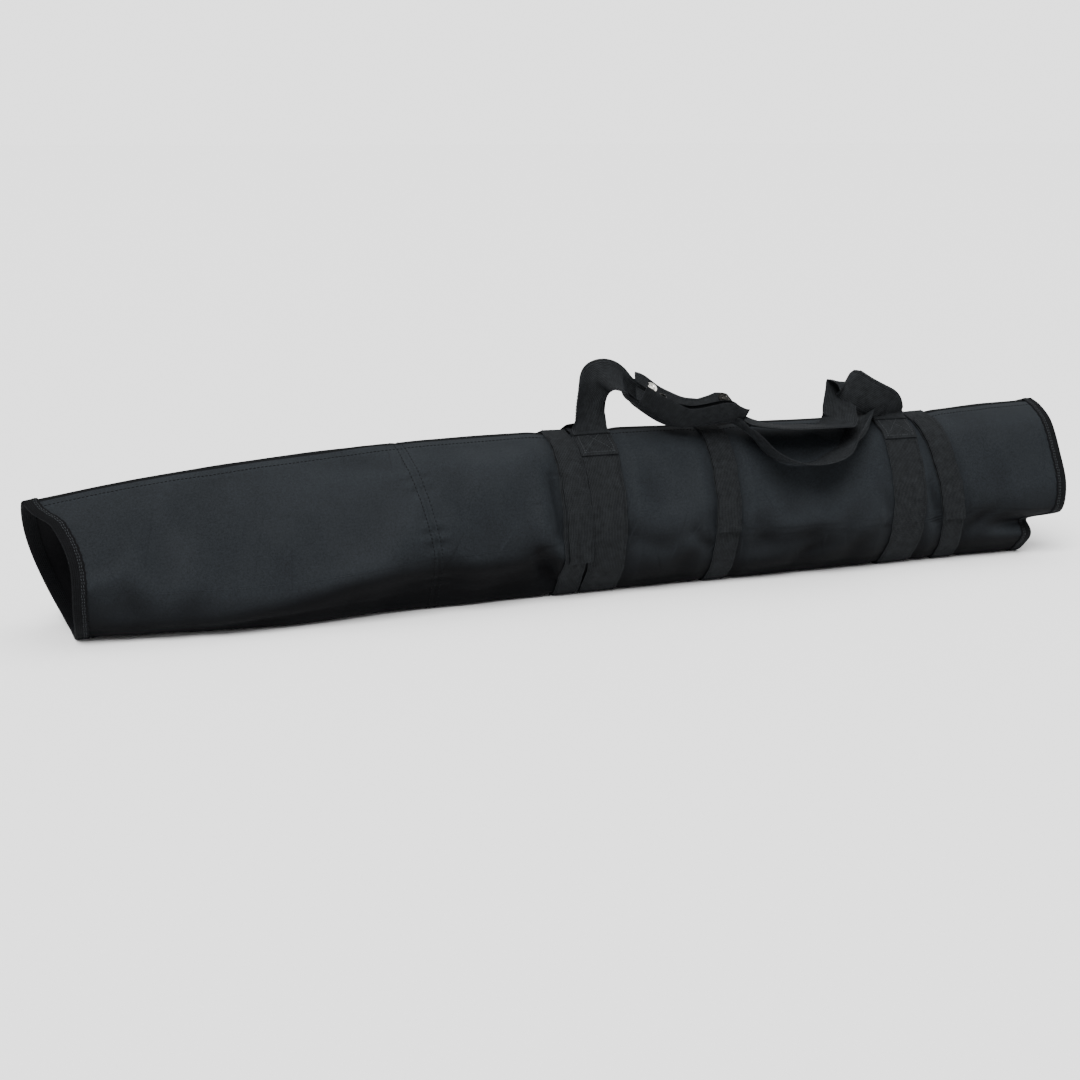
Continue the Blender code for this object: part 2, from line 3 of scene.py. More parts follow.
import bpy
import numpy as np
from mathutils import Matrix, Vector


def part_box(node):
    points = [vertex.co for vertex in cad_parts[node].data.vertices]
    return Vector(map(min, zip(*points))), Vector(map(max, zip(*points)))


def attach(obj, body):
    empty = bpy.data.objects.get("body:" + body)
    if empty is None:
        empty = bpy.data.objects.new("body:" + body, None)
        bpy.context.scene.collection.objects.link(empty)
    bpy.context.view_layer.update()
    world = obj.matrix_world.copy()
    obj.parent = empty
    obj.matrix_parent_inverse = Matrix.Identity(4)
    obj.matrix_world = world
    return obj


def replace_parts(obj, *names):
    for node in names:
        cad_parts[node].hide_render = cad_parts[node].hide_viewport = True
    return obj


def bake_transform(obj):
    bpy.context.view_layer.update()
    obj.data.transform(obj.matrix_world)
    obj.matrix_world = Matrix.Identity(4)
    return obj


# A soft sleeve case for a telescope tube, lying on its belly with its handles slumped forward.
# X runs along the case, -Y is its front and Z is up. Ring positions q run from the ridge (0)
# down the front to the floor (16) and up the back to the ridge again (32).

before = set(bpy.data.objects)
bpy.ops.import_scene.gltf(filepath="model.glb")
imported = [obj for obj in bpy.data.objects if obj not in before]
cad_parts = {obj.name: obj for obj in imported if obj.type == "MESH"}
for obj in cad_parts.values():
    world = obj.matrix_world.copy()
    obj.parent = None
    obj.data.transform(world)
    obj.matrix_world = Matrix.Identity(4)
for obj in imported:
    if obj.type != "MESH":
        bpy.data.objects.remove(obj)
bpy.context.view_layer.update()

MM = 0.001
RING = 32
HALF = RING / 2


def lowest(node):
    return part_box(node)[0]


def highest(node):
    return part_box(node)[1]


# ---- Sizes read from the frame ---------------------------------------------------------
LEFT_END = lowest("lining_sleeve").x - 1.1 * MM
RIGHT_END = highest("lining_sleeve").x + 0.4 * MM
LENGTH = RIGHT_END - LEFT_END
BAND_LEFT = (lowest("carry_band_left").x + highest("carry_band_left").x) / 2
BAND_RIGHT = (lowest("carry_band_right").x + highest("carry_band_right").x) / 2
WIDE = highest("carry_band_left").x - lowest("carry_band_left").x
NARROW = highest("closure_strap_middle").x - lowest("closure_strap_middle").x
STRAP_LEFT = (lowest("closure_strap_left").x + highest("closure_strap_left").x) / 2
STRAP_MIDDLE = (lowest("closure_strap_middle").x + highest("closure_strap_middle").x) / 2
STRAP_RIGHT = lowest("closure_strap_right").x + NARROW / 2
RIDGE = highest("carry_band_left").z - 1.9 * MM

# ---- Cloth sizes ------------------------------------------------------------------------
SHELL_T = 0.8 * MM
FOAM_T = 2.2 * MM
LINING_T = 0.5 * MM
WEB_T = 1.5 * MM
TAPE_T = 0.7 * MM
BINDING_W = 11.0 * MM
RAKE = 36.0 * MM
LOWER_LIP = 28.0 * MM
FLOOR_CLEAR = 1.9 * MM
CLOSURE_LEFT = dict(x=STRAP_LEFT, lean=0.0, tab_lean=7.5 * MM, tab_end=0.24)
CLOSURE_MIDDLE = dict(x=STRAP_MIDDLE, lean=0.0, tab_lean=0.0, tab_end=0.36)
CLOSURE_RIGHT = dict(x=STRAP_RIGHT, lean=24 * MM, tab_lean=24 * MM, tab_end=0.32)

# Half sections from the ridge to the floor: (share of half width, share of height).
BELLY = [(0.0, 1.0), (0.26, 0.965), (0.58, 0.875), (0.83, 0.70), (0.985, 0.50), (0.94, 0.28),
         (0.72, 0.09), (0.42, 0.0), (0.0, 0.0)]
SACK = [(0.0, 1.0), (0.24, 0.95), (0.54, 0.83), (0.80, 0.62), (0.95, 0.42), (1.0, 0.24),
        (0.93, 0.08), (0.62, 0.0), (0.0, 0.0)]
MOUTH = [(0.0, 1.0), (0.25, 0.93), (0.62, 0.77), (0.90, 0.58), (1.0, 0.40), (0.86, 0.20),
         (0.56, 0.06), (0.28, 0.0), (0.0, 0.0)]
# (share of length, height, width, share of mouth section, share of sack section)
STATIONS = [(0.00, 0.123, 0.103, 1.0, 0.0), (0.09, 0.1365, 0.117, 0.45, 0.55),
            (0.20, 0.148, 0.129, 0.0, 0.9), (0.34, 0.155, 0.130, 0.0, 0.15),
            (0.50, 0.156, 0.124, 0.0, 0.0), (0.64, 0.1537, 0.122, 0.0, 0.0),
            (0.75, 0.152, 0.127, 0.0, 0.0), (0.86, 0.152, 0.123, 0.0, 0.0),
            (0.94, 0.156, 0.126, 0.0, 0.0), (1.00, 0.1575, 0.126, 0.0, 0.0)]


def curve_through(points, t):
    """Catmull-Rom curve through points, read at parameters t from 0 to 1."""
    pts = np.asarray(points, float)
    pts = np.vstack([2 * pts[0] - pts[1], pts, 2 * pts[-1] - pts[-2]])
    f = np.clip(np.asarray(t, float), 0, 1) * (len(pts) - 3)
    i = np.minimum(f.astype(int), len(pts) - 4)
    f = (f - i)[..., None]
    a, b, c, d = pts[i], pts[i + 1], pts[i + 2], pts[i + 3]
    return 0.5 * (2 * b + (c - a) * f + (2 * a - 5 * b + 4 * c - d) * f ** 2
                  + (3 * b - a - 3 * c + d) * f ** 3)


def run_along(path):
    """Length along a path of points, from 0 at its first."""
    return np.concatenate([[0], np.cumsum(np.linalg.norm(np.diff(path, axis=0), axis=1))])


def by_length(path, count):
    """A path resampled to count points at even spacing."""
    run = run_along(path)
    want = np.linspace(0, run[-1], count)
    return np.stack([np.interp(want, run, path[:, k]) for k in range(path.shape[1])], 1)


TABLE_STEPS = 400         # steps of cloth length in each half section's table
TYPICAL = (0.063, 0.154)  # half width and height that the tables' cloth lengths are taken at


def half_table(profile):
    """A half section as a fine table at even steps of cloth length."""
    curve = curve_through(np.array(profile) * TYPICAL, np.linspace(0, 1, 600))
    return np.clip(by_length(curve, TABLE_STEPS + 1) / TYPICAL, 0, 1.02)


TABLES = [half_table(p) for p in (BELLY, SACK, MOUTH)]


def smooth(t):
    """An easy step from 0 to 1."""
    t = np.clip(t, 0, 1)
    return t * t * (3 - 2 * t)


def bump(distance, width):
    """A bell of height 1 about distance 0."""
    return np.exp(-0.5 * (distance / width) ** 2)


def stations(x):
    """Height, width and the shares of mouth and sack section at x, by Hermite curves."""
    share = np.clip((x - LEFT_END) / LENGTH, 0, 1)
    data = np.array(STATIONS)
    out = []
    slopes = np.gradient(data, data[:, 0], axis=0)
    i = np.clip(np.searchsorted(data[:, 0], share, "right") - 1, 0, len(data) - 2)
    span = data[i + 1, 0] - data[i, 0]
    t = (share - data[i, 0]) / span
    for k in range(1, 5):
        a, b = data[i, k], data[i + 1, k]
        sa, sb = slopes[i, k] * span, slopes[i + 1, k] * span
        out.append((2 * t ** 3 - 3 * t ** 2 + 1) * a + (t ** 3 - 2 * t ** 2 + t) * sa
                   + (3 * t ** 2 - 2 * t ** 3) * b + (t ** 3 - t ** 2) * sb)
    out[2] = np.clip(out[2], 0, 1)
    out[3] = np.clip(out[3], 0, 1 - out[2])
    return out


def section_yz(x, q):
    """Unwrinkled section: Y and Z at x and ring position q."""
    x, q = np.broadcast_arrays(np.asarray(x, float), np.asarray(q, float))
    q = np.mod(q, RING)
    front = q <= HALF
    s = np.where(front, q, RING - q) / HALF * TABLE_STEPS
    height, width, mouth, sack = stations(x)
    i = np.clip(s.astype(int), 0, TABLE_STEPS - 1)
    t = s - i
    u, v = 0.0, 0.0
    for table, share in zip(TABLES, (1 - mouth - sack, sack, mouth)):
        u = u + share * (table[i, 0] * (1 - t) + table[i + 1, 0] * t)
        v = v + share * (table[i, 1] * (1 - t) + table[i + 1, 1] * t)
    y = width / 2 * u * np.where(front, -1, 1)
    z = FLOOR_CLEAR + (height - FLOOR_CLEAR) * v
    return y, z, front


def height_share(x, q):
    """Share of the case's height at x that ring position q lies at."""
    z = section_yz(x, q)[1]
    return (z - FLOOR_CLEAR) / (stations(np.asarray(x, float))[0] - FLOOR_CLEAR)


# What is laid round the case: (x, width, how far its foot leans along X).
STRAPS = [(CLOSURE_LEFT["x"], NARROW, 0.0), (BAND_LEFT, WIDE, 0.0),
          (CLOSURE_MIDDLE["x"], NARROW, 0.0), (BAND_RIGHT, WIDE, 0.0),
          (CLOSURE_RIGHT["x"], NARROW, CLOSURE_RIGHT["lean"])]


def from_straps(x, share):
    """Distance from the edge of each strap or band, at a share of the case's height."""
    return [np.abs(x - centre - lean * (1 - share)) - width / 2
            for centre, width, lean in STRAPS]


def crease(x, z, ends, width, depth):
    """A soft valley (or a ridge, if depth is positive) between two points (x, z) on a side."""
    (ax, az), (bx, bz) = ends
    dx, dz = bx - ax, bz - az
    t = np.clip(((x - ax) * dx + (z - az) * dz) / (dx * dx + dz * dz), 0, 1)
    away = np.hypot(x - ax - dx * t, z - az - dz * t)
    fade = np.sqrt(np.clip(np.sin(np.pi * (0.06 + 0.88 * t)), 0, 1))
    return depth * fade * bump(away, width)


FOLD_RISE = 1.35          # the folds stand this much prouder than the lists below give
# Folds on each side: ends (x, z), half width and depth, all in millimetres.
FRONT_FOLDS = [
    ((-47, 120), (-42, 58), 6, -4.2), ((-61, 98), (-57, 40), 9, 3.2),
    ((-46, 60), (-38, 24), 5, 4.6), ((-64, 52), (-48, 16), 6, -4.6),
    ((-100, 66), (-56, 34), 10, -1.6), ((-150, 62), (-110, 40), 9, 1.6),
    ((-196, 148), (-238, 152), 6, 1.4), ((-188, 141), (-236, 146), 5, -1.4),
    ((-300, 60), (-200, 52), 16, 1.5), ((-420, 96), (-330, 70), 18, 1.2),
    ((-470, 64), (-440, 92), 8, -0.9), ((-492, 50), (-455, 66), 6, 0.8),
    ((30, 60), (75, 44), 8, -1.8), ((60, 34), (112, 56), 8, 1.8),
    ((28, 92), (84, 74), 12, 1.0), ((96, 60), (118, 40), 5, -1.6),
    ((150, 40), (240, 46), 9, -2.4), ((160, 62), (300, 58), 10, 1.2),
    ((240, 30), (300, 56), 8, 1.8), ((300, 96), (316, 60), 7, -1.2),
    ((214, 24), (262, 40), 6, -1.6), ((148, 64), (176, 84), 8, 1.0),
    ((362, 88), (376, 44), 5, -1.8), ((408, 62), (470, 74), 9, 1.2),
    ((408, 34), (440, 60), 6, -1.6), ((430, 118), (500, 108), 16, 1.0),
]
BACK_FOLDS = [
    ((-440, 80), (-330, 60), 16, 1.6), ((-300, 54), (-190, 70), 12, -1.8),
    ((-230, 100), (-150, 82), 14, 1.4), ((-120, 60), (-50, 84), 9, -2.4),
    ((-60, 50), (-44, 100), 7, 2.2), ((30, 70), (110, 52), 9, -2.2),
    ((46, 100), (112, 90), 12, 1.4), ((150, 60), (230, 74), 10, 1.8),
    ((220, 44), (310, 60), 9, -2.0), ((360, 90), (372, 50), 6, -1.6),
    ((405, 70), (480, 56), 9, 1.6), ((420, 100), (500, 110), 14, 1.0),
]

# X of the panels' join at its foot, where its height is read, and how far its top leans.
JOIN_FOOT, JOIN_MIDDLE, JOIN_RAKE = -162 * MM, -170 * MM, -22 * MM


def seam_x(share):
    """X of the join between the left and right panels at a share of the case's height."""
    return JOIN_FOOT + JOIN_RAKE * share ** 2


def belly_line(x):
    """Height of the slack fold that runs along the belly's front, low at the left mouth."""
    rise = 32 * smooth((x / MM + 400) / 210) - 27 * smooth((x / MM + 50) / 60)
    return (18 + rise) * MM


def relief(x, q, z, share, front):
    """How far the cloth stands out from the plain section, in metres."""
    out = np.zeros_like(z)
    for folds, side in ((FRONT_FOLDS, front), (BACK_FOLDS, ~front)):
        for start, end, width, depth in folds:
            ends = np.multiply((start, end), MM)
            rise = depth * FOLD_RISE * MM
            out += np.where(side, crease(x, z, ends, width * MM, rise), 0)
    # The straps and bands draw the cloth in.
    for away in from_straps(x, share):
        out -= 1.3 * MM * (1 - smooth(away / (16 * MM)))
    # The belly droops over a slack fold, mostly between the left mouth and the left tab.
    slack = smooth((x / MM + 440) / 90) * (1 - 0.6 * smooth((x / MM + 60) / 40))
    below = belly_line(x) - z
    out -= np.where(front, 5.5 * MM * slack * smooth(below / (24 * MM)), 0)
    out += np.where(front, 1.8 * MM * slack * bump(below + 10 * MM, 14 * MM), 0)
    # The join is puckered by its stitching.
    join = x - seam_x(share)
    pucker = np.sin(q * 5.1 + 1.3 * np.sin(q * 1.7)) * (0.35 + 0.65 * (1 - share))
    out += 0.75 * MM * pucker * bump(join, 8 * MM)
    out -= 0.5 * MM * bump(join, 1.3 * MM)
    # Long soft waves, then short ones.
    out += 0.5 * MM * np.sin(61 * x + 0.9 * q + 2.1 * np.sin(17 * x)) * bump(share - 0.5, 0.3)
    out += 0.25 * MM * np.sin(133 * x - 0.7 * q + 1.0) * smooth(share * 3) * (1 - share) * 2
    return out * smooth(share / 0.10)   # fading to the plain section at the floor


FOLD_Q = 10.35            # ring position of the tuck at the right mouth's front
FOLD_X = 0.405            # the tuck starts here and deepens towards the right mouth


def tuck(x, q, front):
    """The right end's front is folded in on itself: the upper lobe hangs over the lower lip."""
    along = smooth((x - FOLD_X) / 0.10)
    inward = 19 * MM * along * bump(q - FOLD_Q, 0.62)
    lobe = 5.0 * MM * along * bump(q - FOLD_Q + 2.1, 1.2)
    lip = 2.0 * MM * along * bump(q - FOLD_Q - 1.9, 1.0)
    drop = 9.0 * MM * along * bump(q - FOLD_Q + 1.05, 0.85)
    return np.where(front, lobe + lip - inward, 0), np.where(front, -drop, 0)


DRAPE = {"field": None}   # what the cloth simulation moved, on a lattice of (x share, q)
SLOPE_STEP = 0.12         # ring step that the section's slope is taken over
FLOOR_GAP = 0.35 * MM     # no cloth comes nearer to the floor


def skin(x, q, lift=0.0):
    """Points of the shell's outer face and their outward normals, raised by lift."""
    x, q = np.broadcast_arrays(np.asarray(x, float), np.asarray(q, float))
    y, z, front = section_yz(x, q)
    y0, z0, _ = section_yz(x, q - SLOPE_STEP)
    y1, z1, _ = section_yz(x, q + SLOPE_STEP)
    ny, nz = (z1 - z0), -(y1 - y0)
    size = np.maximum(np.hypot(ny, nz), 1e-9)
    ny, nz = ny / size, nz / size
    share = height_share(x, q)
    out = relief(x, q, z, share, front)
    side, drop = tuck(x, np.mod(q, RING), front)
    point = np.stack([x, y + ny * out - side, z + nz * out + drop], -1)
    under = smooth((12 * MM - z) / (10 * MM))
    sag = np.ones_like(z)
    for away in from_straps(x, share):
        sag = np.minimum(sag, smooth(away / (14 * MM)))
    point[..., 2] -= 1.5 * MM * sag * under
    point[..., 2] = np.maximum(point[..., 2], FLOOR_GAP)
    if DRAPE["field"] is not None:
        point = point + drape_at(x, q)
    normal = np.stack([np.zeros_like(ny), ny, nz], -1)
    return point + normal * np.asarray(lift)[..., None], normal


def spline_weights(t):
    """Weights of a cubic B-spline's four control points at t."""
    return ((1 - t) ** 3 / 6, (3 * t ** 3 - 6 * t ** 2 + 4) / 6,
            (-3 * t ** 3 + 3 * t ** 2 + 3 * t + 1) / 6, t ** 3 / 6)


def drape_at(x, q):
    """How far the settled cloth moved at these places, as smooth vectors."""
    field = DRAPE["field"]
    nx, nq = field.shape[:2]
    i = np.clip((x - LEFT_END) / LENGTH, 0, 1) * (nx - 1)
    j = np.mod(q, RING) / RING * nq
    i0, j0 = np.floor(i).astype(int), np.floor(j).astype(int)
    moved = 0
    for a, along in enumerate(spline_weights(i - i0)):
        row = np.clip(i0 + a - 1, 0, nx - 1)
        for b, around in enumerate(spline_weights(j - j0)):
            moved = moved + field[row, (j0 + b - 1) % nq] * (along * around)[..., None]
    return moved


def left_rim(q):
    """X of the left mouth's edge, raked back towards its foot."""
    q = np.asarray(q, float)
    down = 1 - height_share(np.full_like(q, LEFT_END), q)
    front = np.mod(q, RING) <= HALF
    bend = np.where(front, 0.45 + 0.55 * smooth(1 - down * 6), 1.8)
    swell = np.where(front, 8.5 * MM * bump(down - 0.36, 0.2), 0.0)
    return LEFT_END + RAKE * np.maximum(down, 0) ** bend + swell


def right_rim(q):
    """X of the right mouth's edge: its lower lip is cut back."""
    q = np.asarray(q, float)
    share = height_share(np.full_like(q, RIGHT_END), q)
    return RIGHT_END - LOWER_LIP * smooth((0.345 - share) / 0.05)


# ---- Materials ---------------------------------------------------------------------------
def linear(code):
    """An sRGB hex colour as linear RGBA."""
    channels = [int(code[k:k + 2], 16) / 255 for k in (1, 3, 5)]
    return tuple(c / 12.92 if c <= 0.04045 else ((c + 0.055) / 1.055) ** 2.4
                 for c in channels) + (1.0,)


def node(tree, kind, feeds=(), **settings):
    """Adds a node; settings are its properties or, by name, its inputs.

    Feeds gives its inputs, by name or number, what they are linked to or their values.
    """
    made = tree.nodes.new(kind)
    for name, value in settings.items():
        if hasattr(made, name):
            setattr(made, name, value)
        else:
            made.inputs[name.replace("_", " ")].default_value = value
    for name, source in dict(feeds).items():
        if isinstance(source, bpy.types.NodeSocket):
            tree.links.new(source, made.inputs[name])
        else:
            made.inputs[name].default_value = source
    return made


def surface(name, colour, roughness, metallic=0.0, sheen=0.0, specular=0.5):
    """A material with its constant values; returns it, its tree and its shader."""
    mat = bpy.data.materials.new(name)
    mat.use_nodes = True
    shader = mat.node_tree.nodes["Principled BSDF"]
    values = {"Base Color": linear(colour), "Roughness": roughness, "Metallic": metallic,
              "Sheen Weight": sheen, "Sheen Roughness": 0.45, "Sheen Tint": linear("#AEB8C4"),
              "Specular IOR Level": specular}
    for name, value in values.items():
        shader.inputs[name].default_value = value
    return mat, mat.node_tree, shader


def finish(tree, shader, **fed):
    """Links sockets to the shader's inputs: colour, roughness or the height of a bump."""
    names = {"colour": "Base Color", "roughness": "Roughness", "normal": "Normal"}
    for name, source in fed.items():
        tree.links.new(source, shader.inputs[names[name]])


WEAVE_SCALE = 2 * math.pi / (20 * 0.9 * MM)   # thread pairs 0.9 mm apart, coarse enough to show
RIB_PITCH, END_PITCH = 2.1 * MM, 1.6 * MM     # webbing's weft ribs and its warp ends
RIB_RISE = 0.10 * MM


def coated_nylon():
    """Polyurethane-backed 600-denier nylon, plain woven: nearly black and matte, with a fine
    thread grain and faint cloudy rub marks."""
    mat, tree, shader = surface("woven_nylon_shell", "#15181B", 0.6, sheen=0.025, specular=0.045)
    uv = node(tree, "ShaderNodeUVMap", uv_map="cloth")
    place = node(tree, "ShaderNodeTexCoord")
    warp = node(tree, "ShaderNodeTexWave", {"Vector": uv.outputs["UV"]}, bands_direction="X",
                Scale=WEAVE_SCALE, Distortion=0.6, Detail=1.0)
    weft = node(tree, "ShaderNodeTexWave", {"Vector": uv.outputs["UV"]}, bands_direction="Y",
                Scale=WEAVE_SCALE, Distortion=0.6, Detail=1.0)
    weave = node(tree, "ShaderNodeMath", {0: warp.outputs["Fac"], 1: weft.outputs["Fac"]},
                 operation="MULTIPLY")
    slub = node(tree, "ShaderNodeTexNoise", {"Vector": place.outputs["Object"]}, Scale=620.0,
                Detail=3.0, Roughness=0.65)
    cloud = node(tree, "ShaderNodeTexNoise", {"Vector": place.outputs["Object"]}, Scale=9.0,
                 Detail=4.0, Roughness=0.6)
    grain = node(tree, "ShaderNodeMath", {0: slub.outputs["Fac"], 1: weave.outputs["Value"]},
                 operation="ADD")
    tone = node(tree, "ShaderNodeMapRange", {"Value": grain.outputs["Value"]},
                From_Min=0.35, From_Max=1.35)
    dark = node(tree, "ShaderNodeMix", {"Factor": tone.outputs["Result"],
                6: linear("#0C0D0E"), 7: linear("#272B2F")}, data_type="RGBA")
    rubbed = node(tree, "ShaderNodeMapRange", {"Value": cloud.outputs["Fac"]},
                  From_Min=0.38, From_Max=0.72, To_Max=0.30)
    worn = node(tree, "ShaderNodeMix", {"Factor": rubbed.outputs["Result"],
                6: dark.outputs[2], 7: linear("#2A2D30")}, data_type="RGBA")
    # The painted_light attribute paints light and shade into the colour: painted light on upward
    # faces and crests, painted shade on what faces down, in hollows, below the slack fold's line
    # and on the underlap along the ridge.
    painted_light = node(tree, "ShaderNodeAttribute", attribute_name="painted_light")
    with_painted_light = node(tree, "ShaderNodeMix", {"Factor": painted_light.outputs["Fac"],
                  6: linear("#030304"), 7: worn.outputs[2]}, data_type="RGBA")
    rough = node(tree, "ShaderNodeMapRange", {"Value": grain.outputs["Value"]},
                 To_Min=0.55, To_Max=0.72)
    threads = node(tree, "ShaderNodeBump", {"Height": grain.outputs["Value"]},
                   Strength=0.35, Distance=0.3 * MM)
    finish(tree, shader, colour=with_painted_light.outputs[2], roughness=rough.outputs["Result"],
           normal=threads.outputs["Normal"])
    return mat


def webbing_finish(name, colour, bright):
    """Woven polypropylene webbing or tape: narrow weft ribs across. Its colour follows the ribs,
    with a painted highlight on the rib crowns and painted shade in the gaps between them, and a
    random fuzzy grain."""
    mat, tree, shader = surface(name, colour, 0.78, sheen=0.03, specular=0.05)
    uv = node(tree, "ShaderNodeUVMap", uv_map="cloth")
    split = node(tree, "ShaderNodeSeparateXYZ", {"Vector": uv.outputs["UV"]})
    waves = []
    for way, pitch in (("Y", RIB_PITCH), ("X", END_PITCH)):
        turns = node(tree, "ShaderNodeMath", {0: split.outputs[way], 1: 2 * math.pi / pitch},
                     operation="MULTIPLY")
        waves.append(node(tree, "ShaderNodeMath", {0: turns.outputs["Value"]},
                          operation="SINE").outputs["Value"])
    both = node(tree, "ShaderNodeMath", {0: waves[0], 1: waves[1], 2: waves[1]},
                operation="MULTIPLY_ADD")
    place = node(tree, "ShaderNodeTexCoord")
    fuzz = node(tree, "ShaderNodeTexNoise", {"Vector": place.outputs["Object"]}, Scale=900.0,
                Detail=2.0)
    height = node(tree, "ShaderNodeMath", {0: both.outputs["Value"], 1: fuzz.outputs["Fac"]},
                  operation="ADD")
    # Handling rubs the webbing unevenly, so its tone and the painted highlight come and go along
    # it.
    rubbed = node(tree, "ShaderNodeTexNoise", {"Vector": place.outputs["Object"]}, Scale=170.0,
                  Detail=3.0, Roughness=0.7)
    uneven = node(tree, "ShaderNodeMath", {0: rubbed.outputs["Fac"], 1: 3.0,
                  2: height.outputs["Value"]}, operation="MULTIPLY_ADD")
    # Painted light from the rib relief: crowns lighter, gaps darker, as painted highlight and
    # painted shade.
    tone = node(tree, "ShaderNodeMapRange", {"Value": uneven.outputs["Value"]},
                From_Min=0.3, From_Max=4.2)
    mix = node(tree, "ShaderNodeMix", {"Factor": tone.outputs["Result"],
               6: linear(colour), 7: linear(bright)}, data_type="RGBA")
    threads = node(tree, "ShaderNodeBump", {"Height": height.outputs["Value"]},
                   Strength=0.5, Distance=0.2 * MM)
    finish(tree, shader, colour=mix.outputs[2], normal=threads.outputs["Normal"])
    return mat


def grained(name, colour, second, scale, roughness, sheen=0.04):
    """A plain matte cloth, foam or pile with a fine two-tone grain."""
    mat, tree, shader = surface(name, colour, roughness, sheen=sheen, specular=0.08)
    place = node(tree, "ShaderNodeTexCoord")
    grain = node(tree, "ShaderNodeTexNoise", {"Vector": place.outputs["Object"]}, Scale=scale,
                 Detail=3.0, Roughness=0.6)
    mix = node(tree, "ShaderNodeMix", {"Factor": grain.outputs["Fac"], 6: linear(colour),
               7: linear(second)}, data_type="RGBA")
    threads = node(tree, "ShaderNodeBump", {"Height": grain.outputs["Fac"]}, Strength=0.4,
                   Distance=0.3 * MM)
    finish(tree, shader, colour=mix.outputs[2], normal=threads.outputs["Normal"])
    return mat


def nickel_plate(name, colour):
    """Nickel-plated brass: warm grey with fine turning marks, or a nearly black copy for painted
    shade.
    """
    mat, tree, shader = surface(name, colour, 0.22, metallic=1.0)
    place = node(tree, "ShaderNodeTexCoord")
    marks = node(tree, "ShaderNodeTexNoise", {"Vector": place.outputs["Object"]}, Scale=1500.0)
    rough = node(tree, "ShaderNodeMapRange", {"Value": marks.outputs["Fac"]}, To_Min=0.14,
                 To_Max=0.34)
    finish(tree, shader, roughness=rough.outputs["Result"])
    return mat


NYLON = coated_nylon()
WEBBING = webbing_finish("ribbed_polypropylene_webbing", "#030303", "#26282A")
BINDING = webbing_finish("grosgrain_binding_tape", "#030303", "#101113")
LINING = grained("matte_nylon_lining", "#040405", "#08080A", 700.0, 0.8)
FOAM = grained("closed_cell_foam", "#1C1D1F", "#29292C", 500.0, 0.9, sheen=0.0)
PILE = grained("hook_and_loop_pile", "#050505", "#101112", 1600.0, 0.95)
THREAD = grained("bonded_polyester_thread", "#1E2022", "#3C3F41", 2400.0, 0.55)
EDGE_THREAD = grained("waxed_edge_thread", "#0A0B0C", "#191B1D", 2400.0, 0.6)
DARK_THREAD = grained("black_polyester_thread", "#020203", "#08090A", 2400.0, 0.7)
NICKEL = nickel_plate("polished_nickel_snap", "#C9C7C1")
# A nearly black copy of the nickel: painted shade for the snaps that show no shine.
SHADED_NICKEL = nickel_plate("shaded_nickel_snap", "#2A2927")

# ---- Mesh helpers ------------------------------------------------------------------------
def in_scene(name, data):
    """A new object of this data, in the scene."""
    obj = bpy.data.objects.new(name, data)
    bpy.context.scene.collection.objects.link(obj)
    return obj


def new_piece(name, mesh, mat, body):
    """An object of one material on a body, or on none if body is None."""
    obj = in_scene(name, mesh)
    mesh.materials.clear()
    mesh.materials.append(mat)
    mesh.shade_smooth()
    mesh.set_sharp_from_angle(angle=math.radians(48))
    if body:
        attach(obj, body)
    return obj


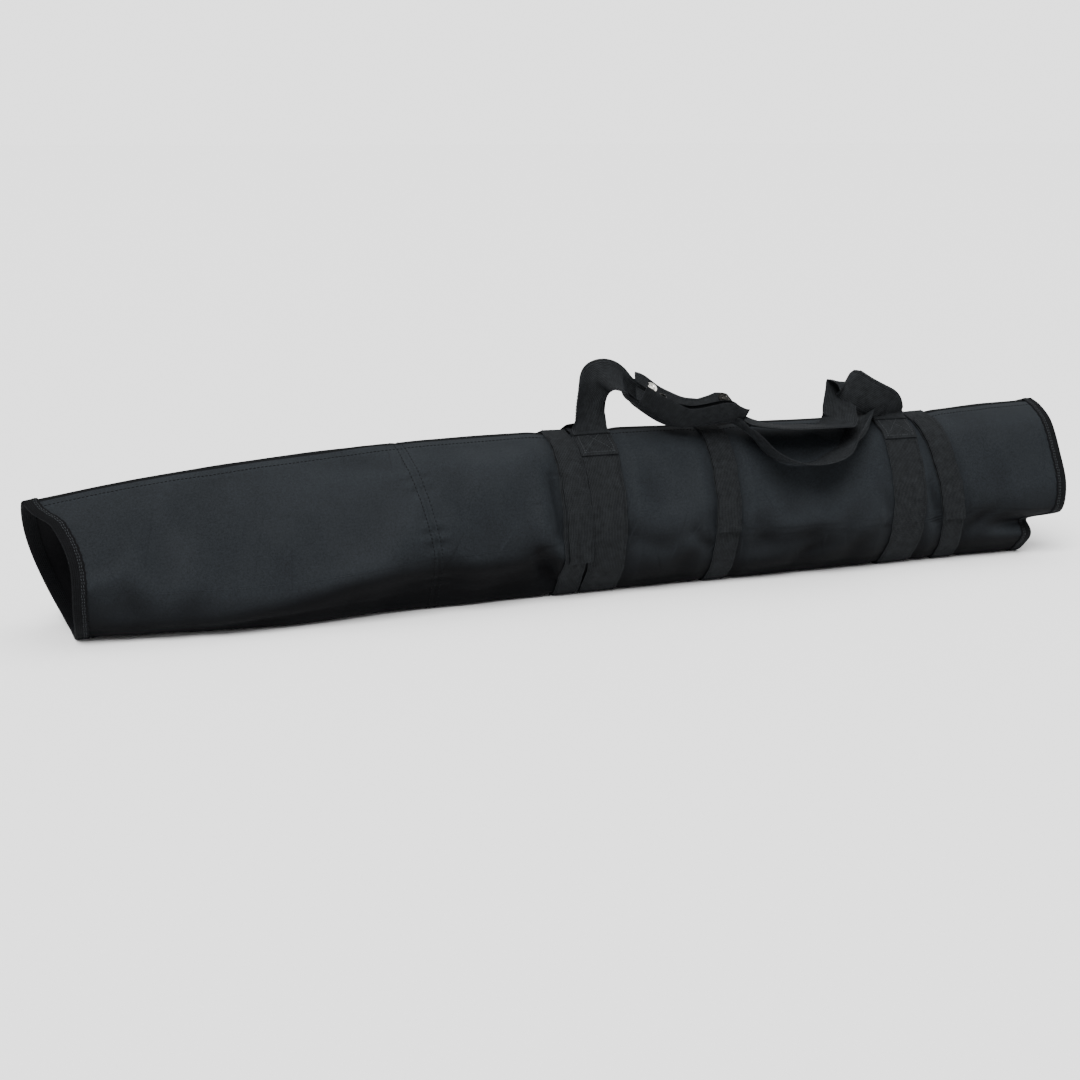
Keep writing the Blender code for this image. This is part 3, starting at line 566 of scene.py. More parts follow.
def layered(name, mid, normal, thickness, mat, body, closed=False, rounded=True,
            ribs=None, painted_light=None):
    """Cloth of real thickness about a mid surface given as a lattice of points.

    Rows run along the cloth and columns across it. Closed joins the last row to the first,
    and rounded thins the two long edges. Ribs, if given, is (pitch, height) of weft ribs
    raised on both faces, and painted_light is how light each point is painted: painted light
    and shade kept in a vertex attribute.
    """
    rows, cols = mid.shape[:2]
    run = run_along(mid[:, cols // 2])
    wide = np.linalg.norm(np.diff(mid[rows // 2], axis=0), axis=1)
    across = np.concatenate([[0], np.cumsum(wide)]) - wide.sum() / 2
    edge = np.ones(cols)
    if rounded:
        edge = np.clip(1 - np.abs(np.linspace(-1, 1, cols)) ** 8 * 0.75, 0.2, 1)
    half = thickness / 2 * edge[None, :, None] * np.ones((rows, 1, 1))
    if ribs:
        half = half + ribs[1] * np.cos(2 * np.pi * run / ribs[0])[:, None, None] * edge[:, None]
    top = (mid + normal * half).reshape(-1, 3)
    bottom = (mid - normal * half).reshape(-1, 3)
    count = rows * cols
    verts = np.vstack([top, bottom])
    r = np.arange(rows if closed else rows - 1)
    c = np.arange(cols - 1)
    rr, cc = np.meshgrid(r, c, indexing="ij")
    r1 = (rr + 1) % rows
    a, b = rr * cols + cc, rr * cols + cc + 1
    d, e = r1 * cols + cc, r1 * cols + cc + 1
    upper = np.stack([a, b, e, d], -1).reshape(-1, 4)
    lower = np.stack([a, d, e, b], -1).reshape(-1, 4) + count
    sides = []
    for col, flip in ((0, False), (cols - 1, True)):
        p, s = r * cols + col, ((r + 1) % rows) * cols + col
        quad = [p, s, s + count, p + count] if not flip else [p, p + count, s + count, s]
        sides.append(np.stack(quad, -1))
    if not closed:
        for row, flip in ((0, True), (rows - 1, False)):
            p, s = row * cols + c, row * cols + c + 1
            quad = [p, s, s + count, p + count] if not flip else [p, p + count, s + count, s]
            sides.append(np.stack(quad, -1))
    faces = np.vstack([upper, lower] + sides)
    cross = np.cross(mid[1:, 1:] - mid[:-1, :-1], mid[:-1, 1:] - mid[1:, :-1])
    if (cross * normal[:-1, :-1]).sum() < 0:
        faces = faces[:, ::-1]
    mesh = bpy.data.meshes.new(name)
    mesh.from_pydata(verts.tolist(), [], faces.tolist())
    u = np.tile(np.broadcast_to(across[None], (rows, cols)).reshape(-1), 2)
    v = np.tile(np.broadcast_to(run[:, None], (rows, cols)).reshape(-1), 2)
    if painted_light is not None:
        lights = mesh.attributes.new("painted_light", "FLOAT", "POINT")
        lights.data.foreach_set("value", np.tile(painted_light.reshape(-1), 2).astype(np.float32))
    layer = mesh.uv_layers.new(name="cloth")
    index = np.empty(len(mesh.loops), int)
    mesh.loops.foreach_get("vertex_index", index)
    layer.data.foreach_set("uv", np.stack([u[index], v[index]], 1).reshape(-1))
    return new_piece(name, mesh, mat, body)


def frame_normals(mid):
    """Normals of a lattice from its own rows and columns."""
    along = np.gradient(mid, axis=0)
    across = np.gradient(mid, axis=1)
    n = np.cross(across, along)
    return n / np.maximum(np.linalg.norm(n, axis=-1, keepdims=True), 1e-12)


def facing(normal, outward):
    """Normals turned, each on its own, to the side that outward is on."""
    side = np.sign((normal * outward).sum(-1, keepdims=True))
    return normal * np.where(side == 0, 1, side)


def on_skin(x, q, lift):
    """Lattice on the shell raised by lift, with true normals of the wrinkled cloth."""
    flat, outward = skin(x, q, 0.0)
    n = facing(frame_normals(flat), outward)
    return flat + n * np.asarray(lift)[..., None], n


def stitch_tree():
    """Geometry Nodes: a thread stitch every Pitch along a curve, Long by Thick."""
    tree = bpy.data.node_groups.new("stitch_row", "GeometryNodeTree")
    face = tree.interface
    face.new_socket("Geometry", in_out="INPUT", socket_type="NodeSocketGeometry")
    for name, value in (("Pitch", 0.0032), ("Long", 0.0023), ("Thick", 0.00045)):
        face.new_socket(name, in_out="INPUT", socket_type="NodeSocketFloat").default_value = value
    face.new_socket("Thread", in_out="INPUT", socket_type="NodeSocketMaterial")
    face.new_socket("Geometry", in_out="OUTPUT", socket_type="NodeSocketGeometry")
    inp = tree.nodes.new("NodeGroupInput")
    out = tree.nodes.new("NodeGroupOutput")
    points = node(tree, "GeometryNodeCurveToPoints", {"Curve": inp.outputs["Geometry"],
                  "Length": inp.outputs["Pitch"]}, mode="LENGTH")
    ball = node(tree, "GeometryNodeMeshIcoSphere", Radius=0.5, Subdivisions=2)
    size = node(tree, "ShaderNodeCombineXYZ", {"X": inp.outputs["Thick"],
                "Y": inp.outputs["Thick"], "Z": inp.outputs["Long"]})
    placed = node(tree, "GeometryNodeInstanceOnPoints", {"Points": points.outputs["Points"],
                  "Instance": ball.outputs["Mesh"], "Rotation": points.outputs["Rotation"],
                  "Scale": size.outputs["Vector"]})
    real = node(tree, "GeometryNodeRealizeInstances", {"Geometry": placed.outputs["Instances"]})
    dressed = node(tree, "GeometryNodeSetMaterial", {"Geometry": real.outputs["Geometry"],
                   "Material": inp.outputs["Thread"]})
    tree.links.new(dressed.outputs["Geometry"], out.inputs["Geometry"])
    return tree


STITCHES = stitch_tree()


def stitch_rows(name, paths, body, pitch=3.2 * MM, long=2.3 * MM, thick=0.5 * MM,
                thread=None):
    """Rows of stitches along paths, as one plain mesh."""
    line = bpy.data.curves.new(name + "_line", "CURVE")
    line.dimensions = "3D"
    for path in paths:
        spline = line.splines.new("POLY")
        spline.points.add(len(path) - 1)
        spline.points.foreach_set("co", np.c_[path, np.ones(len(path))].reshape(-1))
    guide = in_scene(name + "_guide", line)
    row = guide.modifiers.new("stitches", "NODES")
    row.node_group = STITCHES
    thread = thread or THREAD
    values = {"Pitch": pitch, "Long": long, "Thick": thick, "Thread": thread}
    for item in STITCHES.interface.items_tree:
        if item.in_out == "INPUT" and item.name in values:
            row[item.identifier] = values[item.name]
    graph = bpy.context.evaluated_depsgraph_get()
    mesh = bpy.data.meshes.new_from_object(guide.evaluated_get(graph))
    bpy.data.objects.remove(guide)
    mesh.name = name
    return new_piece(name, mesh, thread, body)


# ---- Camera, light and floor ---------------------------------------------------------------
EYE = (-0.6367, -1.5527, 0.4349)
AZIMUTH, ELEVATION, LENS = 21.0, 13.06, 58.67
FLOOR_REACH = 60.0
LAMPS = [("key", (-1.0, -1.5, 2.6), 5.2, 38.0), ("fill", (0.6, 0.5, 3.0), 1.6, 60.0)]


def camera():
    cam = bpy.data.cameras.new("camera")
    cam.sensor_width = 36.0
    cam.lens = LENS
    cam.clip_start = 0.05
    eye = in_scene("camera", cam)
    eye.location = EYE
    eye.rotation_euler = (math.pi / 2 - math.radians(ELEVATION), 0, -math.radians(AZIMUTH))
    bpy.context.scene.camera = eye


def floor():
    mesh = bpy.data.meshes.new("floor")
    corners = [(-1, -1), (1, -1), (1, 1), (-1, 1)]
    mesh.from_pydata([(FLOOR_REACH * x, FLOOR_REACH * y, 0) for x, y in corners], [],
                     [(0, 1, 2, 3)])
    mesh.materials.append(surface("pale_paper_floor", "#F4F4F4", 0.9)[0])
    in_scene("floor", mesh)


def daylight():
    """A white room, brighter to the eye than it lights the case, with two broad suns."""
    world = bpy.data.worlds.new("studio")
    world.use_nodes = True
    tree = world.node_tree
    backdrop = tree.nodes["Background"]
    backdrop.inputs["Color"].default_value = (1, 1, 1, 1)
    ray = node(tree, "ShaderNodeLightPath")
    strength = node(tree, "ShaderNodeMapRange", {"Value": ray.outputs["Is Camera Ray"]},
                    To_Min=0.75, To_Max=2.3)
    tree.links.new(strength.outputs["Result"], backdrop.inputs["Strength"])
    bpy.context.scene.world = world
    for name, place, power, spread in LAMPS:
        light = bpy.data.lights.new(name, "SUN")
        light.angle = math.radians(spread)
        light.energy = power
        lamp = in_scene(name, light)
        lamp.location = place
        lamp.rotation_euler = (-Vector(place)).to_track_quat("-Z", "Y").to_euler()


camera()
floor()
daylight()

# ---- Shell, foam and lining ----------------------------------------------------------------
SLEEVE_COLUMNS, SLEEVE_ROWS = 40, 150
SETTLE_FRAMES = 22
MOST_MOVED = 4.5 * MM     # no place on the shell is moved further than this


def settle():
    """Lets the sleeve's cloth settle between its bands, straps, seams and bound mouths.

    The tube is a little longer and wider in cloth than its frame, as sewn, so it buckles softly
    where nothing holds it. What it moved is kept for everything that is laid on the shell.
    """
    q = np.arange(SLEEVE_COLUMNS) * RING / SLEEVE_COLUMNS
    t = np.linspace(0, 1, SLEEVE_ROWS)
    x, q = np.broadcast_arrays((LEFT_END + LENGTH * t)[:, None], q[None])
    rest, _ = skin(x, q, 0.0)
    share = height_share(x, q)
    r, c = np.meshgrid(np.arange(SLEEVE_ROWS - 1), np.arange(SLEEVE_COLUMNS), indexing="ij")
    c1 = (c + 1) % SLEEVE_COLUMNS
    quads = np.stack([r * SLEEVE_COLUMNS + c, r * SLEEVE_COLUMNS + c1,
                      (r + 1) * SLEEVE_COLUMNS + c1, (r + 1) * SLEEVE_COLUMNS + c], -1)
    mesh = bpy.data.meshes.new("sleeve_sim")
    mesh.from_pydata(rest.reshape(-1, 3).tolist(), [], quads.reshape(-1, 4).tolist())
    sleeve = in_scene("sleeve_sim", mesh)
    # Held under the straps, at the mouths, along the ridge and the floor, and at the join.
    holds = [1 - smooth((away - 3 * MM) / (10 * MM)) for away in from_straps(x, share)]
    holds += [1 - smooth((x - LEFT_END - 45 * MM) / (30 * MM)),
              1 - smooth((RIGHT_END - x - 40 * MM) / (30 * MM)),
              smooth((share - 0.93) / 0.05), smooth((0.06 - share) / 0.05),
              0.6 * bump(x - seam_x(share), 5 * MM)]
    hold = np.max(holds, axis=0).reshape(-1)
    group = sleeve.vertex_groups.new(name="held")
    for i, weight in enumerate(hold):
        if weight > 0.02:
            group.add([i], float(weight), "REPLACE")
    cloth = sleeve.modifiers.new("cloth", "CLOTH")
    fabric = dict(quality=6, mass=0.25, vertex_group_mass="held", pin_stiffness=4.0,
                  tension_stiffness=40, compression_stiffness=40, shear_stiffness=20,
                  bending_stiffness=6.0, shrink_min=-0.022)
    for name, value in fabric.items():
        setattr(cloth.settings, name, value)
    cloth.settings.effector_weights.gravity = 0.25
    cloth.collision_settings.use_collision = False
    cloth.point_cache.frame_start = 1
    cloth.point_cache.frame_end = SETTLE_FRAMES
    scene = bpy.context.scene
    for frame_number in range(1, SETTLE_FRAMES + 1):
        scene.frame_set(frame_number)
    graph = bpy.context.evaluated_depsgraph_get()
    settled = np.empty(len(mesh.vertices) * 3)
    sleeve.evaluated_get(graph).data.vertices.foreach_get("co", settled)
    bpy.data.objects.remove(sleeve)
    scene.frame_set(1)
    moved = settled.reshape(rest.shape) - rest
    free = (1 - hold).reshape(SLEEVE_ROWS, SLEEVE_COLUMNS, 1)
    size = np.linalg.norm(moved, axis=-1, keepdims=True)
    moved = moved * np.minimum(1, MOST_MOVED / np.maximum(size, 1e-9)) * np.clip(free * 3, 0, 1)
    for _ in range(2):
        moved = moved / 2 + (np.roll(moved, 1, 1) + np.roll(moved, -1, 1)) / 4
        moved[1:-1] = moved[1:-1] / 2 + (moved[:-2] + moved[2:]) / 4
    return moved


DRAPE["field"] = settle()

HEM_FRONT = 0.42          # the front panel's top hem, just in front of the ridge
HEM_BACK = RING + 0.55    # the back panel runs over the ridge and under the front hem
PANEL_FOOT = 9.0          # the front and back panels meet the base here


def lattice(q0, q1, q_count, x0, x1, x_count):
    """Rows along the case between two edges, columns round it."""
    q = np.linspace(q0, q1, q_count)[None, :]
    t = np.linspace(0, 1, x_count)[:, None]
    return x0(q) + (x1(q) - x0(q)) * t, np.broadcast_to(q, (x_count, q_count))


def lengths(mid, axis):
    """Lengths of a lattice's lines along its rows (axis 0) or across them (axis 1)."""
    return np.linalg.norm(np.diff(mid, axis=axis), axis=-1).sum(axis)


def join_x(q):
    """X of the panels' join at ring position q."""
    return seam_x(height_share(np.full_like(q, JOIN_MIDDLE), q))


UNDER_FOLD_SHADE, UNDERLAP_SHADE = 0.78, 0.8   # shares of the painted light taken away, as painted shade


def painted_light_of(mid, n):
    """Painted light and painted shade: lighter on upward faces and crests, darker in hollows.

    Painted shade is added on purpose below the slack fold's line, where the belly droops over.
    """
    # Painted light on upward faces; by their bend, crests get painted light and hollows painted
    # shade.
    up = smooth((n[..., 2] + 0.80) / 1.15)
    bend = np.zeros(up.shape)
    for axis in (0, 1):
        step = np.roll(mid, 1, axis) + np.roll(mid, -1, axis) - 2 * mid
        size = np.linalg.norm(np.roll(mid, 1, axis) - mid, axis=-1)
        curve = -(step * n).sum(-1) / np.maximum(size, 1e-6) ** 2
        curve[:2] = curve[-2:] = 0
        curve[:, :2] = curve[:, -2:] = 0
        bend += np.clip(curve, -120, 120)
    held = np.clip(0.06 + 0.90 * up + 0.0030 * np.clip(bend - 16, -80, 60), 0.02, 1.0)
    # Painted shade below the slack fold's line, where the belly droops over.
    under = smooth((belly_line(mid[..., 0]) + 6 * MM - mid[..., 2]) / (15 * MM))
    return held * (1 - UNDER_FOLD_SHADE * under)


def shell():
    """Front, base and back panels, each in a left and a right part."""
    left = (left_rim, lambda q: join_x(q) + 0.1 * MM, 290)
    right = (lambda q: join_x(q) + 0.1 * MM, right_rim, 560)
    spans = {"front": (HEM_FRONT, PANEL_FOOT, 84), "base": (PANEL_FOOT, RING - PANEL_FOOT, 80),
             "back": (RING - PANEL_FOOT, HEM_BACK, 84)}
    for side, (q0, q1, count) in spans.items():
        for part, (x0, x1, steps) in (("left", left), ("right", right)):
            over = (q1 - q0) / count
            x, q = lattice(q0 - over, q1 + over, count + 2, x0, x1, steps)
            under = np.where(q > RING - 0.3, -1.1 * MM * smooth((q - RING + 0.3) / 0.7), 0.0)
            mid, n = on_skin(x, q, under - SHELL_T / 2)
            # Painted light and shade for this panel's colour, from its shape and height.
            painted_light = painted_light_of(mid, n)[:, 1:-1]
            if side == "back":
                # The underlap lies in the shade of the front hem along the ridge.
                painted_light = painted_light * (1 - UNDERLAP_SHADE * smooth((q[:, 1:-1] - RING + 1.7) / 0.8))
            mid, n = mid[:, 1:-1], n[:, 1:-1]
            obj = layered(f"{side}_panel_{part}_cloth", mid, n, SHELL_T, NYLON, "case",
                          rounded=False, painted_light=painted_light)
            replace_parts(obj, f"{side}_panel_{part}")


shell()


def ring_sheet(name, inset, q0, q1, q_count, x_count, lift, thickness, mat, cad):
    """Cloth inside the case, inset from both mouths; lift is a function of x and q."""
    q = np.linspace(q0, q1, q_count)[:, None]
    t = np.linspace(0, 1, x_count)[None, :]
    start, end = left_rim(q) + inset, right_rim(q) - inset
    x = start + (end - start) * t
    q = np.broadcast_to(q, x.shape)
    mid, n = on_skin(x, q, lift(x, q))
    obj = layered(name, mid, n, thickness, mat, "case", rounded=False)
    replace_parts(obj, cad)
    return obj, mid


CLOSURE_Q = 3.6           # ring position of the long closure's lower edge on the front
PADDING_INSET = 32 * MM
SHELL_BACK = -(SHELL_T + 0.25 * MM)


def lining_depth(x, q):
    """The lining lies against the shell at the mouths and behind the foam between them."""
    from_end = np.minimum(x - left_rim(q), right_rim(q) - x)
    t = smooth((from_end - BINDING_W) / (PADDING_INSET - BINDING_W))
    return SHELL_BACK - LINING_T / 2 - (FOAM_T + 0.3 * MM) * t


def inside():
    """Foam padding, lining and the long closure's two strips and underlap."""
    q0, q1 = CLOSURE_Q + 0.2, RING - 3.2
    foam, _ = ring_sheet("foam_padding_sheet", PADDING_INSET, q0, q1, 100, 300,
                           lambda x, q: np.full(x.shape, SHELL_BACK - FOAM_T / 2),
                           FOAM_T, FOAM, "foam_padding")
    lining, mid = ring_sheet("lining_cloth", 0.6 * MM, q0, q1, 120, 380, lining_depth, LINING_T,
                             LINING, "lining_sleeve")
    layers = [("closure_hook_strip", "closure_hook_tape", 0.2, 0.7, PILE, "hook_loop"),
              ("closure_loop_strip", "closure_loop_tape", 0.9, 0.7, PILE, "hook_loop"),
              ("closure_flap", "closure_underlap", 1.6, 0.6, LINING, "shell_nylon")]
    for name, cad, depth, thick, mat, slot in layers:
        q0, q1 = (-1.5, CLOSURE_Q - 0.1) if cad == "closure_underlap" else (0.7, CLOSURE_Q - 0.3)
        drop = SHELL_BACK - 0.9 * MM - (depth + thick / 2) * MM
        strip, mid = ring_sheet(name, 2 * BINDING_W, q0, q1, 16, 200,
                                lambda x, q: np.full(x.shape, drop), thick * MM, mat, cad)


inside()


def bound_mouth(name, rim, inward, cad):
    """Grosgrain folded over a mouth's raw edge: outer leg, fold and inner leg."""
    inner = SHELL_BACK - LINING_T - 0.4 * MM
    legs = [(BINDING_W, 0.45 * MM), (0.75 * BINDING_W, 0.5 * MM), (0.5 * BINDING_W, 0.5 * MM),
            (0.25 * BINDING_W, 0.5 * MM), (0.4 * MM, 0.5 * MM), (-0.6 * MM, 0.1 * MM),
            (-1.0 * MM, -0.7 * MM), (-0.6 * MM, inner + 0.3 * MM), (0.4 * MM, inner),
            (0.5 * BINDING_W, inner), (BINDING_W, inner)]
    q = np.arange(0, RING, RING / 420)
    wave = 0.25 * MM * np.sin(q * 9.0) + 0.2 * MM * np.sin(q * 23.0 + 1)
    columns = []
    for run, lift in legs:
        x = rim(q) + inward * (run + (wave if run > BINDING_W / 2 else 0))
        columns.append(skin(x, q, np.full_like(q, lift))[0])
    mid = np.stack(columns, 1)
    closed = np.concatenate([mid[-1:], mid, mid[:1]])
    n = frame_normals(closed)[1:-1]
    if (n[:, 1] * skin(rim(q), q, 0.0)[1]).sum() < 0:
        n = -n
    tape = layered(name, mid, n, TAPE_T, BINDING, "case", closed=True,
                   rounded=False, ribs=(2.2 * MM, 0.08 * MM))
    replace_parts(tape, cad)
    rows = []
    for run in (0.78, 0.62):
        x = rim(q) + inward * (run * BINDING_W + wave)
        path = skin(x, q, np.full_like(q, 0.95 * MM))[0]
        rows.append(np.vstack([path, path[:1]]))
    stitch_rows(name + "_stitching", rows, "case", pitch=3.0 * MM)


bound_mouth("left_mouth_binding_tape", left_rim, 1, "mouth_binding_left")
bound_mouth("right_mouth_binding_tape", right_rim, -1, "mouth_binding_right")

# ---- Webbing round the case ------------------------------------------------------------------
BAND_LIFT = 0.35 * MM + WEB_T / 2


def webbing_round(name, x, width, lean, q0, q1, lift, body, cols, rows, swell=None,
                  closed=False, mat=WEBBING):
    """Webbing laid round the case from ring position q0 to q1, in place of its CAD node.

    Swell, if given, lifts it more by ring position and by share of its width.
    """
    q = np.linspace(q0, q1, rows, endpoint=not closed)[:, None]
    s = np.linspace(-0.5, 0.5, cols)[None, :]
    share = height_share(np.full_like(q, x), q)
    xx = x + s * width + lean * (1 - share)
    xx = xx + 0.35 * MM * np.sin(q * 2.3 + x * 80) + 0.2 * MM * np.sin(q * 5.7)
    qq = np.broadcast_to(q, xx.shape)
    up = np.full(xx.shape, lift)
    if swell is not None:
        up = up + swell(qq, np.broadcast_to(s, xx.shape))
    centre = skin(np.broadcast_to(x + lean * (1 - share), xx.shape), qq, 0.0)[0]
    own, n = skin(xx, qq, 0.0)
    # Stiffer than the shell, it bridges most of the folds across its width.
    flat = 0.25 * own + 0.75 * centre
    flat[..., 0] = own[..., 0]
    proud = np.maximum(((own - flat) * n).sum(-1), 0)
    flat = flat + n * (proud + up)[..., None]
    flat[..., 2] = np.maximum(flat[..., 2], WEB_T / 2 + 0.05 * MM)
    if closed:
        wrapped = np.concatenate([flat[-1:], flat, flat[:1]])
        normal = frame_normals(wrapped)[1:-1]
    else:
        normal = frame_normals(flat)
    normal = facing(normal, n)
    obj = layered(name, flat, normal, WEB_T, mat, body, closed=closed,
                  ribs=(RIB_PITCH, RIB_RISE))
    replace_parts(obj, name.rpartition("_")[0])
    declare_strap(flat, closed)
    return flat, normal


def declare_strap(mid, closed=False):
    """Works out a strap's mean run along its rows, with the closing gap if closed; the result is
    kept nowhere.
    """
    run = lengths(mid, 0).mean()
    if closed:
        run += np.linalg.norm(mid[0] - mid[-1], axis=-1).mean()


def edge_stitches(name, mid, normal, body, inset, up=0.12 * MM):
    """Stitch rows along both edges of a strap, inset from each."""
    cols = mid.shape[1]
    width = np.linalg.norm(mid[:, -1] - mid[:, 0], axis=-1).mean()
    share = inset / width * (cols - 1)
    paths = []
    for c in (share, cols - 1 - share):
        i, t = int(c), c - int(c)
        line = mid[:, i] * (1 - t) + mid[:, min(i + 1, cols - 1)] * t
        paths.append(line + normal[:, i] * (WEB_T / 2 + up))
    stitch_rows(name, paths, body, thread=EDGE_THREAD)


def q_at_drop(x, drop):
    """Ring position on the front at a length of cloth down from the ridge."""
    q = np.linspace(0, HALF, 600)
    return float(np.interp(drop, run_along(skin(np.full_like(q, x), q, 0.0)[0]), q))


def q_at_share(x, share):
    """Ring position on the front at a share of the case's height."""
    q = np.linspace(0, HALF, 600)
    return float(np.interp(-share, -height_share(np.full_like(q, x), q), q))


WIDE_EDGE, NARROW_EDGE = 2.6 * MM, 2.2 * MM   # edge stitching lies this far in
BANDS = {"left": BAND_LEFT, "right": BAND_RIGHT}


def bands():
    """The two wide bands that carry the handles' feet."""
    for side, x in BANDS.items():
        mid, n = webbing_round(f"carry_band_{side}_webbing", x, WIDE, 0.0, 0, RING, BAND_LIFT,
                               "case", 21, 520, closed=True)
        edge_stitches(f"carry_band_{side}_stitching", mid, n, "case", WIDE_EDGE)


bands()


def box_and_cross(name, mid, normal, r0, r1):
    """A stitched box with a cross in it on a strap, between row shares r0 and r1."""
    rows, cols = mid.shape[:2]
    c = 4.0 * MM / np.linalg.norm(mid[0, -1] - mid[0, 0])

    def at(u, v):
        i, j = u * (rows - 1), v * (cols - 1)
        a, b = np.clip(i.astype(int), 0, rows - 2), np.clip(j.astype(int), 0, cols - 2)
        ti, tj = (i - a)[:, None], (j - b)[:, None]
        p = ((mid[a, b] * (1 - tj) + mid[a, b + 1] * tj) * (1 - ti)
             + (mid[a + 1, b] * (1 - tj) + mid[a + 1, b + 1] * tj) * ti)
        return p + normal[a, b] * (WEB_T / 2 + 0.15 * MM)

    corners = [(r0, c), (r0, 1 - c), (r1, 1 - c), (r1, c), (r0, c)]
    lines = [corners, [(r0, c), (r1, 1 - c)], [(r0, 1 - c), (r1, c)]]
    paths = []
    for line in lines:
        pts = np.array(line)
        t = np.linspace(0, len(pts) - 1, 60 * (len(pts) - 1))
        paths.append(at(np.interp(t, range(len(pts)), pts[:, 0]),
                        np.interp(t, range(len(pts)), pts[:, 1])))
    stitch_rows(name, paths, "case", pitch=2.8 * MM, long=2.1 * MM)


FOOT_LIFT = BAND_LIFT + WEB_T + 0.2 * MM
HOOK_LONG = 45 * MM
RING_STEP = 8.5e-3        # cloth length of one ring position on the front


def feet():
    """The handles' four ends, sewn down on the bands with a box and cross."""
    for side, x in BANDS.items():
        q0, q1 = q_at_drop(x, 4 * MM), q_at_drop(x, 42 * MM)
        for face, (a, b) in (("front", (q0, q1)), ("rear", (RING - q1, RING - q0))):
            name = f"handle_foot_{face}_{side}"
            mid, n = webbing_round(name + "_webbing", x, WIDE, 0.0, a, b, FOOT_LIFT, "case",
                                   21, 70)
            box_and_cross(name + "_stitching", mid, n, 0.10, 0.92)


feet()


def closure(side, spec):
    """A strap round the case, its tab over the front and the tab's patch of hook pile."""
    x, body = spec["x"], f"{side}_tab"
    mid, n = webbing_round(f"closure_strap_{side}_webbing", x, NARROW, spec["lean"], 0, RING,
                           BAND_LIFT - 0.05 * MM, "case", 15, 520, closed=True)
    edge_stitches(f"closure_strap_{side}_stitching", mid, n, "case", NARROW_EDGE)
    head, foot = q_at_drop(x, 18 * MM), q_at_share(x, spec["tab_end"])
    lift = BAND_LIFT + WEB_T + 1.1 * MM

    def lie(q, s):
        """The tab arches a little and its end curls up at one corner."""
        t = (q - head) / (foot - head)
        up = 0.6 * MM * np.sin(np.pi * t) + 1.0 * MM * smooth((t - 0.9) / 0.1) * (0.5 + s)
        return up - 0.5 * MM * smooth(1 - t / 0.12)

    mid, n = webbing_round(f"closure_tab_{side}_webbing", x, NARROW, spec["tab_lean"], head,
                           foot, lift, body, 15, 240, swell=lie)
    edge_stitches(f"closure_tab_{side}_stitching", mid, n, body, NARROW_EDGE)
    webbing_round(f"tab_hook_{side}_pile", x, NARROW - 3 * MM, spec["tab_lean"],
                  foot - HOOK_LONG / RING_STEP, foot - 0.15,
                  BAND_LIFT + WEB_T / 2 + 0.55 * MM, body, 9, 90, mat=PILE)


closure("left", CLOSURE_LEFT)
closure("middle", CLOSURE_MIDDLE)
closure("right", CLOSURE_RIGHT)

# ---- Handles ---------------------------------------------------------------------------------
ARC = np.linspace(0.001, 2.6, 400)


def strap_lattice(stops, width, rows, cols):
    """Strap whose cross section is an arc, through stops of (centre, across, keep, bow).

    Keep is the share of its width left as the chord, and bow picks which face it bows
    towards (-1 to 1).
    """
    data = np.array([(*centre, *across, keep, bow) for centre, across, keep, bow in stops])
    data[:, :3] *= MM
    fine = curve_through(data, np.linspace(0, 1, 1200))
    run = run_along(fine[:, :3])
    want = np.linspace(0, run[-1], rows)
    fine = np.stack([np.interp(want, run, fine[:, k]) for k in range(fine.shape[1])], 1)
    p, w = fine[:, :3], fine[:, 3:6]
    tangent = np.gradient(p, axis=0)
    tangent /= np.linalg.norm(tangent, axis=1, keepdims=True)
    w = w - tangent * (w * tangent).sum(1, keepdims=True)
    w /= np.linalg.norm(w, axis=1, keepdims=True)
    n = np.cross(tangent, w)
    chord = np.clip(fine[:, 6], 0.35, 0.9999)
    half = np.interp(-chord, -np.sin(ARC) / ARC, ARC)
    radius = width / 2 / half
    phi = np.linspace(-1, 1, cols)[None, :] * half[:, None]
    side = radius[:, None] * np.sin(phi)
    rise = radius[:, None] * (np.cos(phi) - np.cos(half)[:, None]) * np.clip(fine[:, 7:8], -1, 1)
    mid = p[:, None] + w[:, None] * side[..., None] + n[:, None] * rise[..., None]
    return mid, frame_normals(mid)


RIDGE_MM = RIDGE / MM
LX, RX = BAND_LEFT / MM, BAND_RIGHT / MM
KEEL_A = np.array([LX + 48, -24, RIDGE_MM + 24])
KEEL_B = np.array([LX + 146, -36, RIDGE_MM + 1])
KEEL = (KEEL_B - KEEL_A) / np.linalg.norm(KEEL_B - KEEL_A)


def square_to_keel(v):
    """A unit vector square to the keel, the nearest to v."""
    v = np.array(v, float)
    v = v - KEEL * (v @ KEEL)
    return v / np.linalg.norm(v)


BACK_OUT = square_to_keel((0.0, 0.72, 0.69))
BACK_IN = np.cross(KEEL, BACK_OUT)
FLAP_OUT = square_to_keel((0.0, -0.64, 0.77))
FLAP_IN = -np.cross(KEEL, FLAP_OUT)


def keel_sag(t):
    """How far the wrap's keel hangs below its straight line, in millimetres."""
    return 16.0 * bump(np.asarray(t, float) - 0.38, 0.22)


def leaf_sag(t, s):
    """The same for a leaf at a share s of its height: its free edge hangs less."""
    return keel_sag(t) * (1 - 0.35 * s)


def in_wrap(share, off):
    """Centre of a handle folded into the wrap, at a share of the keel and off its back leaf."""
    p = KEEL_A + (KEEL_B - KEEL_A) * share + BACK_OUT * 14.0 + BACK_IN * off
    return p[0], p[1], p[2] - float(keel_sag(share))


def strap_piece(name, mid, normal, body, thickness=WEB_T):
    """A ribbed strap off the shell."""
    return layered(name, mid, normal, thickness, WEBBING, body,
                   ribs=(RIB_PITCH, RIB_RISE))


